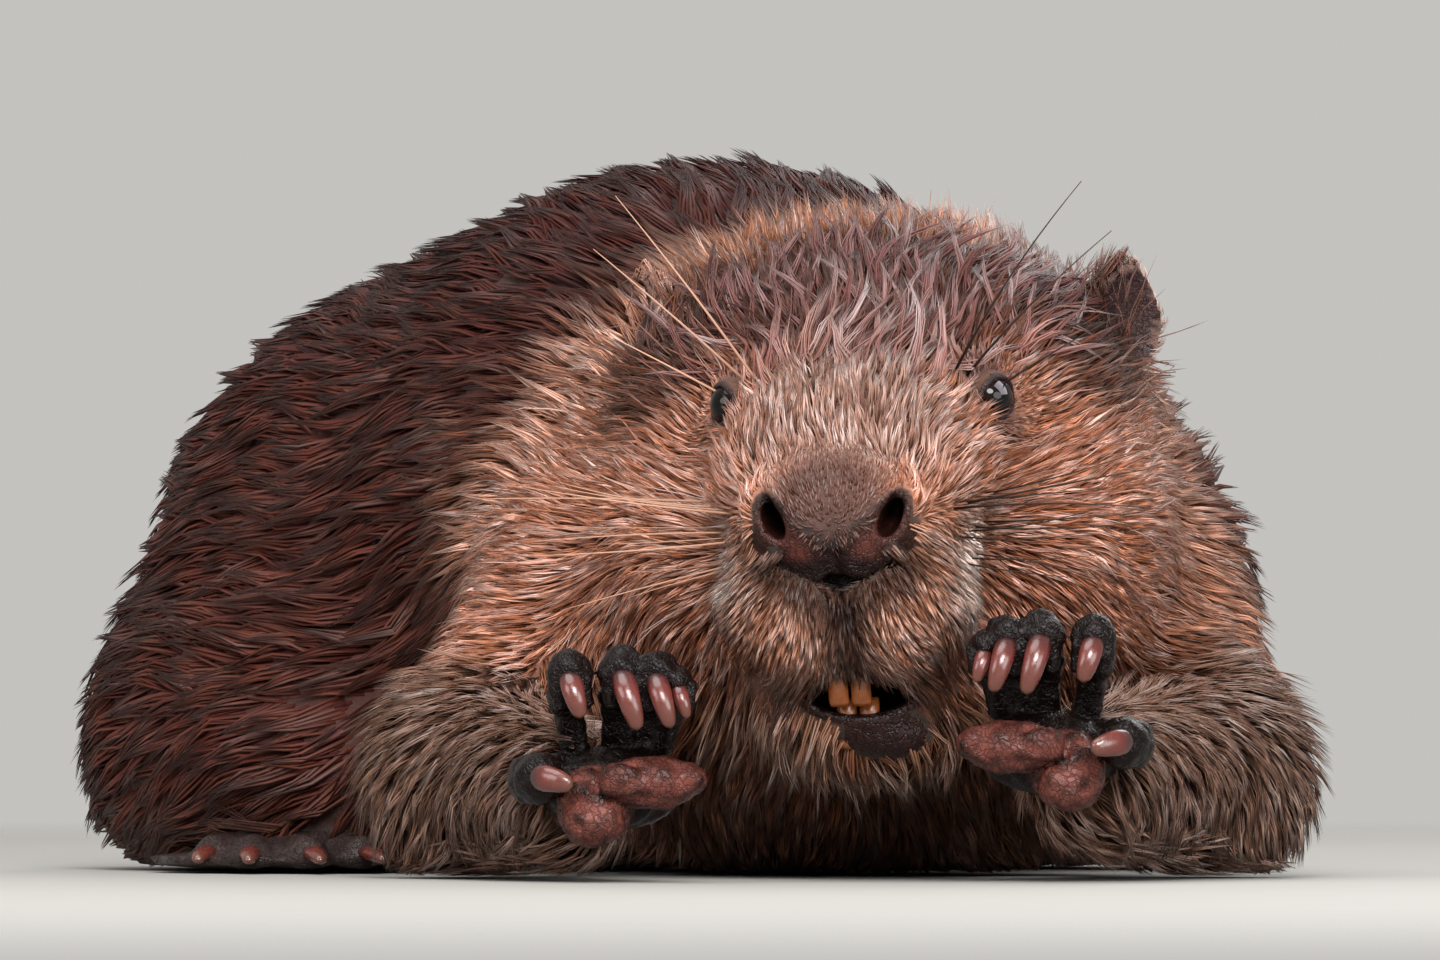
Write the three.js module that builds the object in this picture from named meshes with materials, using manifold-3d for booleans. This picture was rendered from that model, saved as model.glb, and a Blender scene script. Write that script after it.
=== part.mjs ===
// Still, life-size model of an adult Eurasian beaver, crouched over its forepaws with the head turned.
// Millimetres, +Z up, the floor at z = 0. The animal is laid out facing -Y with its left side on +X;
// the whole group is turned at the end so that the trunk lies along Y with the head at the -Y end.
import * as THREE from "three";
import { mergeVertices } from "three/addons/utils/BufferGeometryUtils.js";
import Module from "manifold-3d";

const wasm = await Module();
wasm.setup();

const V = (x, y, z) => new THREE.Vector3(x, y, z);
const RAD = Math.PI / 180;

// ---------------------------------------------------------------- driving sizes
const SEAM = 0.35; // gap between touching solids
const FLOOR_SINK = 60; // how deep the block is that levels everything on the floor

// Where the three parts of the body stand, and how each is turned.
const TRUNK_ORIGIN = V(50, 190, 0); // on the floor under the shoulders
const TRUNK_SWING = 23; // the hindquarters trail off to the animal's right
const HEAD_ORIGIN = V(52.8, 144.9, 140.7); // where the skull meets the neck
const HEAD_YAW = -8;
const HEAD_PITCH = 10; // nose down
const HEAD_ROLL = -1.5;

// Masses of the body, each an ellipsoid of coat and flesh: centre and half sizes.
// The trunk's are measured from TRUNK_ORIGIN along the spine.
const TRUNK = {
  chest: { at: V(6, 14, 84), half: V(121, 104, 92) },
  back: { at: V(-4, 124, 110), half: V(124, 150, 117) },
  loin: { at: V(0, 236, 92), half: V(134, 128, 108) },
  rump: { at: V(0, 316, 58), half: V(92, 74, 60) },
};
const HIP = { at: V(71, 216, 102), half: V(64, 98, 66) };
const THIGH = { at: V(116, 205, 36), half: V(61, 108, 62) };
const NECK = { at: V(44, 196, 122), half: V(84, 74, 72) };
const TRUNK_BLEND = 46;
const NECK_BLEND = 36;

// The head's masses are measured from HEAD_ORIGIN with the skull level. The paired ones are given
// for the left side.
const HEAD = {
  crown: { at: V(3, -8, 6), half: V(75, 74, 50) },
  face: { at: V(0, -72, -4), half: V(44, 58, 38) },
  muzzle: { at: V(0, -102, -16), half: V(38, 46, 34) },
  lip: { at: V(0, -117, -36), half: V(37, 30, 27) },
  jaw: { at: V(3, -86, -69), half: V(37, 46, 28) },
  throat: { at: V(0, -14, -58), half: V(72, 62, 46) },
};
const CHEEK = { at: V(47, -32, -31), half: V(41, 52, 45) };
const NOSE = { at: V(0, -140, -8), half: V(22, 13, 17.5) };
const NOSTRIL = { at: V(18, -147, -7.5), half: V(4.6, 9, 7) };
const MOUTH = { at: V(3, -130, -64), half: V(16.5, 34, 6) };
const MOUTH_CURVE = 0.003; // its corners are higher than its middle
const INCISOR = { halfWidth: 3.1, halfDepth: 2.3, gap: 0.3 };
const INCISOR_TAPER = [1, 1, 0.6]; // in depth, from the gum to the edge
const INCISOR_SIDES = 6;
const INCISOR_ROWS = {
  upper: { root: V(0.5, -131, -50), reach: -17 },
  lower: { root: V(2, -125.5, -80), reach: 14.5 },
};
const HEAD_BLEND = 20;
const NOSE_BLEND = 7;

const EYE_RADIUS = 7.2;
const EYE_AT = V(38.2, -72, 15);
const EYE_HOLLOW = 9.5; // ball of air that clears the coat away in front of the eye
const EYE_HOLLOW_REACH = 7.5;
const EYE_GAZE = V(0.8, -0.6, 0.1);

const EAR_AT = V(70, 3, 25);
const EAR_HALF = V(15, 6.5, 18.5);
const EAR_TURN = { left: [4, 10, 44], right: [10, -14, -78] }; // degrees; the right one lies back
const EAR_CUP = { at: V(0, -3.6, 1.5), half: V(12.6, 5.2, 15.6) };

// Forelimbs: joint places in the layout, and the coat's half thickness there.
const ARMS = {
  left: { shoulder: V(118, 184, 82), elbow: V(146, 136, 31), wrist: V(110, 36, 30) },
  right: { shoulder: V(-36, 160, 82), elbow: V(-74, 120, 31), wrist: V(-44, 36, 25) },
};
const ARM_THICK = { shoulder: 42, elbow: 31, wrist: 18 };
const ARM_BLEND = 20;

// Forepaws: the centre of each one's grip. In a paw's own axes X points away from the midline.
const GRIP = { left: V(97.5, -2, 56), right: V(-32, -2, 45.5) };
const PALM = { at: V(0, 17, -18), half: V(21, 13, 12) };
const PADS = [
  { at: V(-10, 1, -16), half: V(17, 10, 7.5) },
  { at: V(4, 6, -25), half: V(12.5, 11, 11) },
];
const FINGER_THICK = 6.3;
const FINGER_SPREAD = [-18.5, -12, -2, 13.5]; // sideways place of the four that close over the grip
const FINGER_SIZE = [0.5, 0.94, 1.1, 1]; // the inner toe is the short one
const CLAW_LENGTH = [11, 18, 20, 15];
const LITTLE_TOE = [V(15, 20, -14), V(23, 9, -15), V(21, -1, -15)]; // opposes the others from below
const LITTLE_TOE_THICK = 7.4;
const FINGER_BLEND = 2;
const PAW_BLEND = 5;
const WRIST_BLEND = 8;

// Claws leave their root, a step from the toe's last joint, along "start" and bend towards "end".
const FORE_CLAW = {
  step: V(-0.3, -3.2, 2.4), start: V(-0.1, -0.8, -0.4), end: V(-0.3, 0.3, -1), halfWidth: 3.5, across: V(1, 0, 0),
};
const LITTLE_CLAW = {
  step: V(1, -5.2, 0.5), start: V(-0.5, -0.8, 0), end: V(-1, -0.35, -0.3), halfWidth: 4, across: V(0, 0, 1),
};
const LITTLE_CLAW_LENGTH = 14;
const HIND_CLAW = { halfWidth: 3.3, length: 15, droop: -0.28, across: V(1, 0, 0) };
const CLAW_FLATNESS = 0.72; // height as a share of width

// Hind feet: measured from the heel, with the toes towards -Y.
const FOOT_HEEL = V(122, 262, 0); // from TRUNK_ORIGIN
const FOOT_SPLAY = 9;
const THIGH_MIDDLE = V(140, 205, 0); // of the room the hind leg is made in
const THIGH_FLOOR = 16.4; // the coat of the thigh ends over the foot
const TARSUS = { at: V(0, -44, 8), half: V(21, 58, 7.6) };
const BALL = V(0, -84, 7.3);
const TOE_ANGLE = [-27, -14, -1, 12, 25];
const TOE_LENGTH = [58, 76, 84, 80, 62];
const TOE_SHARES = [-0.2, 0.5, 0.9, 1.02]; // where each toe's tube is measured, along its length
const TOE_THICK = [6.3, 6, 5.4, 3];
const TOE_TIP_HEIGHT = 6.6;
const SOLE_THICK = 4.5; // the flat sole and its webs
const WEB_REACH = 0.86; // how far along the toes the web runs

// Tail: a furred root, then the flat scaly blade.
const TAIL_ROOT = V(-88, 506, 34);
const TAIL_LENGTH = 318;
const TAIL_SWING = 2; // degrees off the layout's Y
const BLADE_HALF_WIDTH = 66;
const TAIL_ROOT_HALF = [40, 27]; // half width and half height
const BLADE_HALF_HEIGHT = [15, 5];
const TAIL_FLAT = 2.2; // how far the blade is sunk, to rest on a flat

// Lattice steps of the faceted surfaces: coarse on the trunk, fine on the paws.
const CELL = { trunk: 32, neck: 27, head: 16.6, arm: 19, leg: 28, paw: 7.8 };

// The room searched for each part's surface, as its lowest and highest corners. The limbs' are
// measured from the middle of the forearm, the grip and the middle of the thigh.
const ROOM = {
  head: [V(-72, -24, -16), V(180, 184, 214)],
  neck: [V(-90, 110, 30), V(190, 240, 236)],
  trunk: [V(-240, 60, -24), V(230, 590, 262)],
  arm: [V(-86, -92, -50), V(90, 104, 64)],
  paw: [V(-38, -24, -60), V(38, 42, 40)],
  leg: [V(-130, -170, -10), V(130, 170, 170)],
};

// The body is one surface, and each part keeps what lies in its own box or arch.
const HEAD_BOX = { at: V(0, -82, -10), size: V(204, 184, 200) };
const NECK_BOX = { at: V(0, 34, 20), size: V(290, 48 - SEAM, 150) };
const ARM_BOX = { at: V(3, 12, -8), size: V(76, 136, 76) };
const WRIST_BOX = { at: V(3, -8, -6), size: V(66, 74, 76) };
const THIGH_ARCH = { middle: 205, halfLength: 116, height: 104, inner: 92, outer: 212 };
const HEEL_BOX = { at: V(152, 205, 0), size: V(120, 236, 2 * THIGH_FLOOR) };

const COLOUR = {
  coat: 0x3b2620, face: 0x7a5540, leather: 0x2a1c1a, claw: 0x8c5548, eye: 0x0b0706, tail: 0x2b2524,
  tooth: 0xb0692c,
};

// ---------------------------------------------------------------- signed distance shapes
const ellipsoid = ({ at, half }) => (p) => {
  const d = p.clone().sub(at);
  const near = Math.max(Math.hypot(d.x / half.x, d.y / half.y, d.z / half.z), 1e-6);
  const slope = Math.hypot(d.x / half.x ** 2, d.y / half.y ** 2, d.z / half.z ** 2);
  return (near * (near - 1)) / Math.max(slope, 1e-9);
};

const limb = (from, to, thickFrom, thickTo) => (p) => {
  const along = to.clone().sub(from);
  const share = THREE.MathUtils.clamp(p.clone().sub(from).dot(along) / along.lengthSq(), 0, 1);
  const nearest = from.clone().addScaledVector(along, share);
  return p.distanceTo(nearest) - THREE.MathUtils.lerp(thickFrom, thickTo, share);
};

const softMin = (a, b, reach) => {
  const h = Math.max(reach - Math.abs(a - b), 0) / reach;
  return Math.min(a, b) - (h * h * reach) / 4;
};
const blend = (reach, ...shapes) => (p) =>
  shapes.map((s) => s(p)).reduce((a, b) => softMin(a, b, reach));
const inFrame = (matrix, shape) => {
  const back = matrix.clone().invert();
  return (p) => shape(p.clone().applyMatrix4(back));
};
const mirrored = (shape) => (p) => shape(V(Math.abs(p.x), p.y, p.z));

const turn = (x, y, z) =>
  new THREE.Matrix4().makeRotationFromEuler(new THREE.Euler(x * RAD, y * RAD, z * RAD, "ZXY"));
const place = (origin, matrix) =>
  new THREE.Matrix4().makeTranslation(origin.x, origin.y, origin.z).multiply(matrix);

const TRUNK_FRAME = place(TRUNK_ORIGIN, turn(0, 0, TRUNK_SWING));
const HEAD_FRAME = place(HEAD_ORIGIN, turn(HEAD_PITCH, HEAD_ROLL, HEAD_YAW));
const PAW_FRAME = {
  left: place(GRIP.left, new THREE.Matrix4()),
  right: place(GRIP.right, new THREE.Matrix4().makeScale(-1, 1, 1)),
};
const SIDE = { left: 1, right: -1 };

// ---------------------------------------------------------------- faceted surface of a shape
// One vertex for each lattice cell that the surface crosses, and a quad for each crossed edge.
function net(shape, low, high, cell) {
  const count = ["x", "y", "z"].map((a) => Math.ceil((high[a] - low[a]) / cell) + 1);
  const index = (c) => (c[2] * count[1] + c[1]) * count[0] + c[0];
  const corner = (c) => V(low.x + c[0] * cell, low.y + c[1] * cell, low.z + c[2] * cell);
  const value = new Float64Array(count[0] * count[1] * count[2]);
  const eachPoint = (trim, visit) => {
    for (let k = 0; k < count[2] - trim; k++)
      for (let j = 0; j < count[1] - trim; j++)
        for (let i = 0; i < count[0] - trim; i++) visit([i, j, k]);
  };
  const step = (c, axis, by = 1) => c.map((n, a) => (a === axis ? n + by : n));
  eachPoint(0, (c) => {
    const rim = c.some((n, a) => n === 0 || n === count[a] - 1);
    const d = shape(corner(c));
    value[index(c)] = rim ? Math.max(d, cell / 2) : d;
  });
  // A face whose corners alternate in and out would join two sheets along one edge, so it is filled.
  for (let changed = true; changed; ) {
    changed = false;
    eachPoint(1, (c) => {
      for (const axis of [0, 1, 2]) {
        const [b, d] = [(axis + 1) % 3, (axis + 2) % 3];
        const face = [c, step(c, b), step(step(c, b), d), step(c, d)].map(index);
        const sign = face.map((f) => value[f] < 0);
        if (sign[0] !== sign[2] || sign[1] !== sign[3] || sign[0] === sign[1]) continue;
        for (const f of face) if (value[f] >= 0) value[f] = -cell * 1e-3;
        changed = true;
      }
    });
  }
  const vertexOf = new Map();
  const positions = [];
  eachPoint(1, (c) => {
    const sum = V(0, 0, 0);
    let crossings = 0;
    for (const axis of [0, 1, 2]) {
      const [b, d] = [(axis + 1) % 3, (axis + 2) % 3];
      for (const start of [c, step(c, b), step(c, d), step(step(c, b), d)]) {
        const end = step(start, axis);
        const [v0, v1] = [value[index(start)], value[index(end)]];
        if (v0 < 0 === v1 < 0) continue;
        sum.add(corner(start).lerp(corner(end), v0 / (v0 - v1)));
        crossings++;
      }
    }
    if (!crossings) return;
    vertexOf.set(index(c), positions.length / 3);
    positions.push(...settled(shape, sum.divideScalar(crossings), cell).toArray());
  });
  const triangles = [];
  const at = (n) => V(positions[3 * n], positions[3 * n + 1], positions[3 * n + 2]);
  eachPoint(0, (c) => {
    for (const axis of [0, 1, 2]) {
      if (c[axis] >= count[axis] - 1) continue;
      const [v0, v1] = [value[index(c)], value[index(step(c, axis))]];
      if (v0 < 0 === v1 < 0) continue;
      const [b, d] = [(axis + 1) % 3, (axis + 2) % 3];
      const quad = [step(step(c, b, -1), d, -1), step(c, d, -1), c, step(c, b, -1)].map((q) =>
        vertexOf.get(index(q)),
      );
      if (v0 >= 0) quad.reverse();
      const [e, f, g, h] = quad;
      const even = at(e).distanceTo(at(g)) <= at(f).distanceTo(at(h));
      triangles.push(...(even ? [e, f, g, e, g, h] : [e, f, h, f, g, h]));
    }
  });
  return toSolid(positions, triangles);
}

// Moves a point onto the surface, unless it lies on the lattice's rim.
function settled(shape, point, cell) {
  const start = point.clone();
  for (let round = 0; round < 3; round++) {
    const d = shape(point);
    if (Math.abs(d) > cell * 0.9) return start;
    const probe = cell * 0.05;
    const slope = V(
      shape(point.clone().setX(point.x + probe)) - shape(point.clone().setX(point.x - probe)),
      shape(point.clone().setY(point.y + probe)) - shape(point.clone().setY(point.y - probe)),
      shape(point.clone().setZ(point.z + probe)) - shape(point.clone().setZ(point.z - probe)),
    ).divideScalar(2 * probe);
    point.addScaledVector(slope, -d / Math.max(slope.lengthSq(), 0.2));
  }
  return point.distanceTo(start) < cell * 0.6 ? point : start;
}

// ---------------------------------------------------------------- closed solids
const toSolid = (positions, triangles) =>
  new wasm.Manifold(
    new wasm.Mesh({
      numProp: 3,
      vertProperties: Float32Array.from(positions),
      triVerts: Uint32Array.from(triangles),
    }),
  );

function solidOf(geometry, matrix = new THREE.Matrix4()) {
  const bare = new THREE.BufferGeometry().setAttribute("position", geometry.attributes.position);
  if (geometry.index) bare.setIndex(geometry.index);
  const merged = mergeVertices(bare.applyMatrix4(matrix), 1e-3);
  const order = Array.from(merged.index.array);
  if (matrix.determinant() < 0) order.reverse();
  return toSolid(merged.attributes.position.array, order);
}

function geometryOf(solid) {
  const { numProp, numVert, vertProperties, triVerts } = solid.getMesh();
  const points = new Float32Array(numVert * 3);
  for (let i = 0; i < numVert; i++)
    points.set(vertProperties.subarray(i * numProp, i * numProp + 3), i * 3);
  const geometry = new THREE.BufferGeometry();
  geometry.setAttribute("position", new THREE.BufferAttribute(points, 3));
  geometry.setIndex(new THREE.BufferAttribute(Uint32Array.from(triVerts), 1));
  return geometry;
}

const block = (centre, size, matrix = new THREE.Matrix4()) =>
  solidOf(
    new THREE.BoxGeometry(size.x, size.y, size.z),
    matrix.clone().multiply(new THREE.Matrix4().makeTranslation(centre.x, centre.y, centre.z)),
  );

const ball = (half, matrix, sides = 10) =>
  solidOf(
    new THREE.SphereGeometry(1, sides, Math.round(sides * 0.67)),
    matrix.clone().multiply(new THREE.Matrix4().makeScale(half.x, half.y, half.z)),
  );

// A closed tube through the given points. Its section is an ellipse, wide along "across".
function sweep(points, widths, heights, across, sides, matrix = new THREE.Matrix4()) {
  const positions = [];
  const triangles = [];
  points.forEach((point, n) => {
    const ahead = points[Math.min(n + 1, points.length - 1)];
    const behind = points[Math.max(n - 1, 0)];
    const along = ahead.clone().sub(behind).normalize();
    const wide = across.clone().addScaledVector(along, -across.dot(along)).normalize();
    const tall = wide.clone().cross(along);
    for (let s = 0; s < sides; s++) {
      const angle = (2 * Math.PI * s) / sides;
      const ring = point.clone();
      ring.addScaledVector(wide, widths[n] * Math.cos(angle));
      ring.addScaledVector(tall, heights[n] * Math.sin(angle));
      positions.push(...ring.toArray());
      if (n + 1 === points.length) continue;
      const [a, b] = [n * sides + s, n * sides + ((s + 1) % sides)];
      triangles.push(a, a + sides, b, b, a + sides, b + sides);
    }
  });
  const last = (points.length - 1) * sides;
  positions.push(...points[0].toArray(), ...points.at(-1).toArray());
  const caps = [last + sides, last + sides + 1];
  for (let s = 0; s < sides; s++) {
    const next = (s + 1) % sides;
    triangles.push(caps[0], s, next, caps[1], last + next, last + s);
  }
  const geometry = new THREE.BufferGeometry();
  geometry.setAttribute("position", new THREE.Float32BufferAttribute(positions, 3));
  geometry.setIndex(triangles);
  const solid = solidOf(geometry, matrix);
  if (solid.volume() > 0) return solid;
  geometry.setIndex(triangles.reverse());
  return solidOf(geometry, matrix);
}

const floorBlock = block(V(0, 400, -FLOOR_SINK / 2), V(1400, 2000, FLOOR_SINK));

// ---------------------------------------------------------------- the body as one shape
const trunkShape = blend(
  TRUNK_BLEND,
  ...Object.values(TRUNK).map(ellipsoid),
  mirrored(ellipsoid(HIP)),
  mirrored(ellipsoid(THIGH)),
);
const headShape = blend(
  NOSE_BLEND,
  blend(HEAD_BLEND, ...Object.values(HEAD).map(ellipsoid), mirrored(ellipsoid(CHEEK))),
  ellipsoid(NOSE),
);
const armShape = ({ shoulder, elbow, wrist }) =>
  blend(
    ARM_BLEND,
    limb(shoulder, elbow, ARM_THICK.shoulder, ARM_THICK.elbow),
    limb(elbow, wrist, ARM_THICK.elbow, ARM_THICK.wrist),
  );
const bodyShape = blend(
  ARM_BLEND,
  blend(
    NECK_BLEND,
    inFrame(TRUNK_FRAME, trunkShape),
    ellipsoid(NECK),
    inFrame(HEAD_FRAME, headShape),
  ),
  armShape(ARMS.left),
  armShape(ARMS.right),
);

// Joints of a finger that closes over the grip, from the palm to the tip.
const fingerJoints = (n) => {
  const [out, size] = [FINGER_SPREAD[n], FINGER_SIZE[n]];
  return [
    V(out * 0.8, 24, -5),
    V(out, 19, 4 + 5 * size),
    V(out - 0.5, 5, 8 + 6.5 * size),
    V(out - 1, -4.5, 6.5 + 6.5 * size),
  ];
};
const fingerShape = (joints, thick) =>
  blend(FINGER_BLEND, ...joints.slice(1).map((to, n) => limb(joints[n], to, thick, thick * 0.94)));
const pawShape = blend(
  PAW_BLEND,
  ellipsoid(PALM),
  ...PADS.map(ellipsoid),
  ...FINGER_SPREAD.map((_, n) => fingerShape(fingerJoints(n), FINGER_THICK * Math.sqrt(FINGER_SIZE[n]))),
  fingerShape(LITTLE_TOE, LITTLE_TOE_THICK),
);

// ---------------------------------------------------------------- claws
const CLAW_SIDES = 6;
const CLAW_TAPER = [0.8, 1, 0.86, 0.45]; // from root to tip
const CLAW_STEPS = CLAW_TAPER.length;

// A blunt nail along an arc, grown on all sides by "swell" when it is the room for one.
function clawSolid(root, { start, end, across }, length, halfWidth, matrix, swell = 0) {
  const points = [];
  const heading = start.clone().normalize();
  const point = root.clone().addScaledVector(heading, -swell);
  for (let n = 0; n < CLAW_STEPS; n++) {
    points.push(point.clone());
    heading.lerp(end.clone().normalize(), 1 / (CLAW_STEPS - 1)).normalize();
    point.addScaledVector(heading, (length + 2 * swell) / (CLAW_STEPS - 1));
  }
  const widths = CLAW_TAPER.map((t) => halfWidth * t + swell);
  const heights = CLAW_TAPER.map((t) => halfWidth * CLAW_FLATNESS * t + swell);
  return sweep(points, widths, heights, across, CLAW_SIDES, matrix);
}

function pawClaws(side, swell) {
  const frame = PAW_FRAME[side];
  const claws = FINGER_SIZE.map((size, n) => {
    const root = fingerJoints(n).at(-1).add(FORE_CLAW.step);
    return clawSolid(root, FORE_CLAW, CLAW_LENGTH[n], FORE_CLAW.halfWidth * Math.sqrt(size), frame, swell);
  });
  const root = LITTLE_TOE.at(-1).clone().add(LITTLE_CLAW.step);
  claws.push(clawSolid(root, LITTLE_CLAW, LITTLE_CLAW_LENGTH, LITTLE_CLAW.halfWidth, frame, swell));
  return claws;
}

// ---------------------------------------------------------------- hind feet
const footFrame = (side) =>
  TRUNK_FRAME.clone().multiply(
    place(V(SIDE[side] * FOOT_HEEL.x, FOOT_HEEL.y, 0), turn(0, 0, SIDE[side] * FOOT_SPLAY)),
  );
const toeEnd = (n, share = 1) =>
  V(
    BALL.x + Math.sin(TOE_ANGLE[n] * RAD) * TOE_LENGTH[n] * share,
    BALL.y - Math.cos(TOE_ANGLE[n] * RAD) * TOE_LENGTH[n] * share,
    THREE.MathUtils.lerp(BALL.z, TOE_TIP_HEIGHT, share),
  );

function footSolid(frame) {
  const toes = TOE_ANGLE.map((_, n) =>
    sweep(TOE_SHARES.map((share) => toeEnd(n, share)), TOE_THICK, TOE_THICK, V(1, 0, 0), 6, frame),
  );
  const sole = new THREE.Shape();
  const rim = TOE_ANGLE.map((_, n) => toeEnd(n, WEB_REACH));
  sole.absellipse(TARSUS.at.x, TARSUS.at.y, TARSUS.half.x, TARSUS.half.y, 0.1 * Math.PI, 0.9 * Math.PI);
  rim.forEach((end, n) => {
    if (n === 0) sole.lineTo(end.x, end.y);
    else {
      const dip = rim[n - 1].clone().add(end).multiplyScalar(0.5).lerp(BALL, 0.1);
      sole.quadraticCurveTo(dip.x, dip.y, end.x, end.y);
    }
  });
  sole.closePath();
  const slab = new THREE.ExtrudeGeometry(sole, { depth: SOLE_THICK, bevelEnabled: false, curveSegments: 2 });
  return [
    ball(TARSUS.half, frame.clone().multiply(place(TARSUS.at, new THREE.Matrix4())), 10),
    solidOf(slab, frame),
    ...toes,
  ].reduce((a, b) => a.add(b));
}

const footClaws = (frame) =>
  TOE_ANGLE.map((angle, n) => {
    const ahead = V(Math.sin(angle * RAD), -Math.cos(angle * RAD), 0);
    const root = toeEnd(n, TOE_SHARES.at(-1)).addScaledVector(ahead, SEAM);
    const bend = { start: ahead, end: ahead.clone().setZ(HIND_CLAW.droop), across: HIND_CLAW.across };
    return clawSolid(root, bend, HIND_CLAW.length, HIND_CLAW.halfWidth, frame);
  });

// ---------------------------------------------------------------- tail
function tailSolid(swell = 0) {
  const stations = 9;
  const heading = V(Math.sin(TAIL_SWING * RAD), Math.cos(TAIL_SWING * RAD), 0);
  const points = [];
  const widths = [];
  const heights = [];
  for (let n = 0; n < stations; n++) {
    const t = n / (stations - 1);
    const intoBlade = THREE.MathUtils.smoothstep(t, 0.1, 0.42);
    const tip = Math.sqrt(Math.max(1 - ((t - 0.58) / 0.42) ** 2, 0.02));
    const width = THREE.MathUtils.lerp(TAIL_ROOT_HALF[0], BLADE_HALF_WIDTH, intoBlade);
    const blade = THREE.MathUtils.lerp(BLADE_HALF_HEIGHT[0], BLADE_HALF_HEIGHT[1], t);
    const thick = THREE.MathUtils.lerp(TAIL_ROOT_HALF[1], blade, THREE.MathUtils.smoothstep(t, 0, 0.3));
    const height = Math.max(thick - TAIL_FLAT, THREE.MathUtils.lerp(TAIL_ROOT.z, 0, Math.min(t * 4, 1)));
    widths.push(width * (t > 0.58 ? tip : 1) + swell);
    heights.push(thick + swell);
    const reach = t * TAIL_LENGTH + (n === 0 ? -swell : 0);
    points.push(TAIL_ROOT.clone().addScaledVector(heading, reach).setZ(height));
  }
  return sweep(points, widths, heights, V(1, 0, 0), 12);
}

// ---------------------------------------------------------------- regions that part the body
const armBox = (side, swell = 0) => {
  const { elbow, wrist } = ARMS[side];
  const heading = Math.atan2(elbow.x - wrist.x, elbow.y - wrist.y) / RAD;
  const middle = elbow.clone().lerp(wrist, 0.5);
  return block(
    ARM_BOX.at.clone().setX(SIDE[side] * ARM_BOX.at.x),
    ARM_BOX.size.clone().addScalar(swell),
    place(middle, turn(0, 0, -heading)),
  );
};
const wristBox = (side, swell = 0) =>
  block(WRIST_BOX.at, WRIST_BOX.size.clone().addScalar(swell), PAW_FRAME[side]);
const thighRegion = (side, swell = 0) => {
  const { middle, halfLength, height, inner, outer } = THIGH_ARCH;
  const outline = new THREE.Shape();
  outline.absellipse(0, 0, halfLength + swell, height + 2 * swell, 0, Math.PI);
  outline.closePath();
  const depth = outer - inner;
  const slab = new THREE.ExtrudeGeometry(outline, { depth, bevelEnabled: false, curveSegments: 9 });
  const start = SIDE[side] > 0 ? inner - swell : -outer + swell;
  const upright = new THREE.Matrix4().makeBasis(V(0, 1, 0), V(0, 0, 1), V(1, 0, 0));
  return solidOf(slab, TRUNK_FRAME.clone().multiply(place(V(start, middle, THIGH_FLOOR - swell), upright)));
};
const heelBox = (side, swell = 0) =>
  block(
    HEEL_BOX.at.clone().setX(SIDE[side] * HEEL_BOX.at.x),
    HEEL_BOX.size.clone().add(V(swell, swell, 0)),
    TRUNK_FRAME,
  );

const root = new THREE.Group();
const coat = new THREE.MeshStandardMaterial({ color: COLOUR.coat, roughness: 0.85, metalness: 0 });
const faceCoat = new THREE.MeshStandardMaterial({ color: COLOUR.face, roughness: 0.8, metalness: 0 });
const leather = new THREE.MeshStandardMaterial({ color: COLOUR.leather, roughness: 0.5, metalness: 0 });
const nail = new THREE.MeshStandardMaterial({ color: COLOUR.claw, roughness: 0.3, metalness: 0 });
const eyeball = new THREE.MeshStandardMaterial({ color: COLOUR.eye, roughness: 0.05, metalness: 0 });
const scaly = new THREE.MeshStandardMaterial({ color: COLOUR.tail, roughness: 0.6, metalness: 0 });
const enamel = new THREE.MeshStandardMaterial({ color: COLOUR.tooth, roughness: 0.25, metalness: 0 });

function addNode(name, solid, material) {
  const largest = solid.decompose().sort((a, b) => b.volume() - a.volume())[0];
  const mesh = new THREE.Mesh(geometryOf(largest), material);
  mesh.name = name;
  root.add(mesh);
}

const pairedFrame = (side, at, matrix = new THREE.Matrix4()) =>
  HEAD_FRAME.clone().multiply(place(V(SIDE[side] * at.x, at.y, at.z), matrix));
const earFrame = (side) => pairedFrame(side, EAR_AT, turn(...EAR_TURN[side]));
const EYE_HOLLOW_AT = EYE_AT.clone().addScaledVector(EYE_GAZE.clone().normalize(), EYE_HOLLOW_REACH);
const grown = (half, by) => half.clone().addScalar(by);
const ROUND_EYE = V(EYE_RADIUS, EYE_RADIUS, EYE_RADIUS);
const ROUND_HOLLOW = V(EYE_HOLLOW, EYE_HOLLOW, EYE_HOLLOW);

// The open mouth: a flat egg of air, bent upwards towards its corners.
function mouthRoom() {
  const gape = new THREE.SphereGeometry(1, 14, 9).scale(...MOUTH.half);
  const points = gape.attributes.position;
  for (let n = 0; n < points.count; n++)
    points.setZ(n, points.getZ(n) + MOUTH_CURVE * points.getX(n) ** 2);
  return solidOf(gape, HEAD_FRAME.clone().multiply(place(MOUTH.at, new THREE.Matrix4())));
}

function incisorSolid(row, side, swell = 0) {
  const { root, reach } = INCISOR_ROWS[row];
  const way = Math.sign(reach);
  const step = (reach + way * swell) / (INCISOR_TAPER.length - 1);
  const aside = SIDE[side] * (INCISOR.halfWidth + INCISOR.gap);
  return sweep(
    INCISOR_TAPER.map((_, n) => V(0, 0, (n === 0 ? -way * swell : 0) + n * step)),
    INCISOR_TAPER.map(() => INCISOR.halfWidth + swell),
    INCISOR_TAPER.map((t) => INCISOR.halfDepth * t + swell),
    V(1, 0, 0), INCISOR_SIDES,
    HEAD_FRAME.clone().multiply(place(root.clone().add(V(aside, 0, 0)), new THREE.Matrix4())),
  );
}

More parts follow.
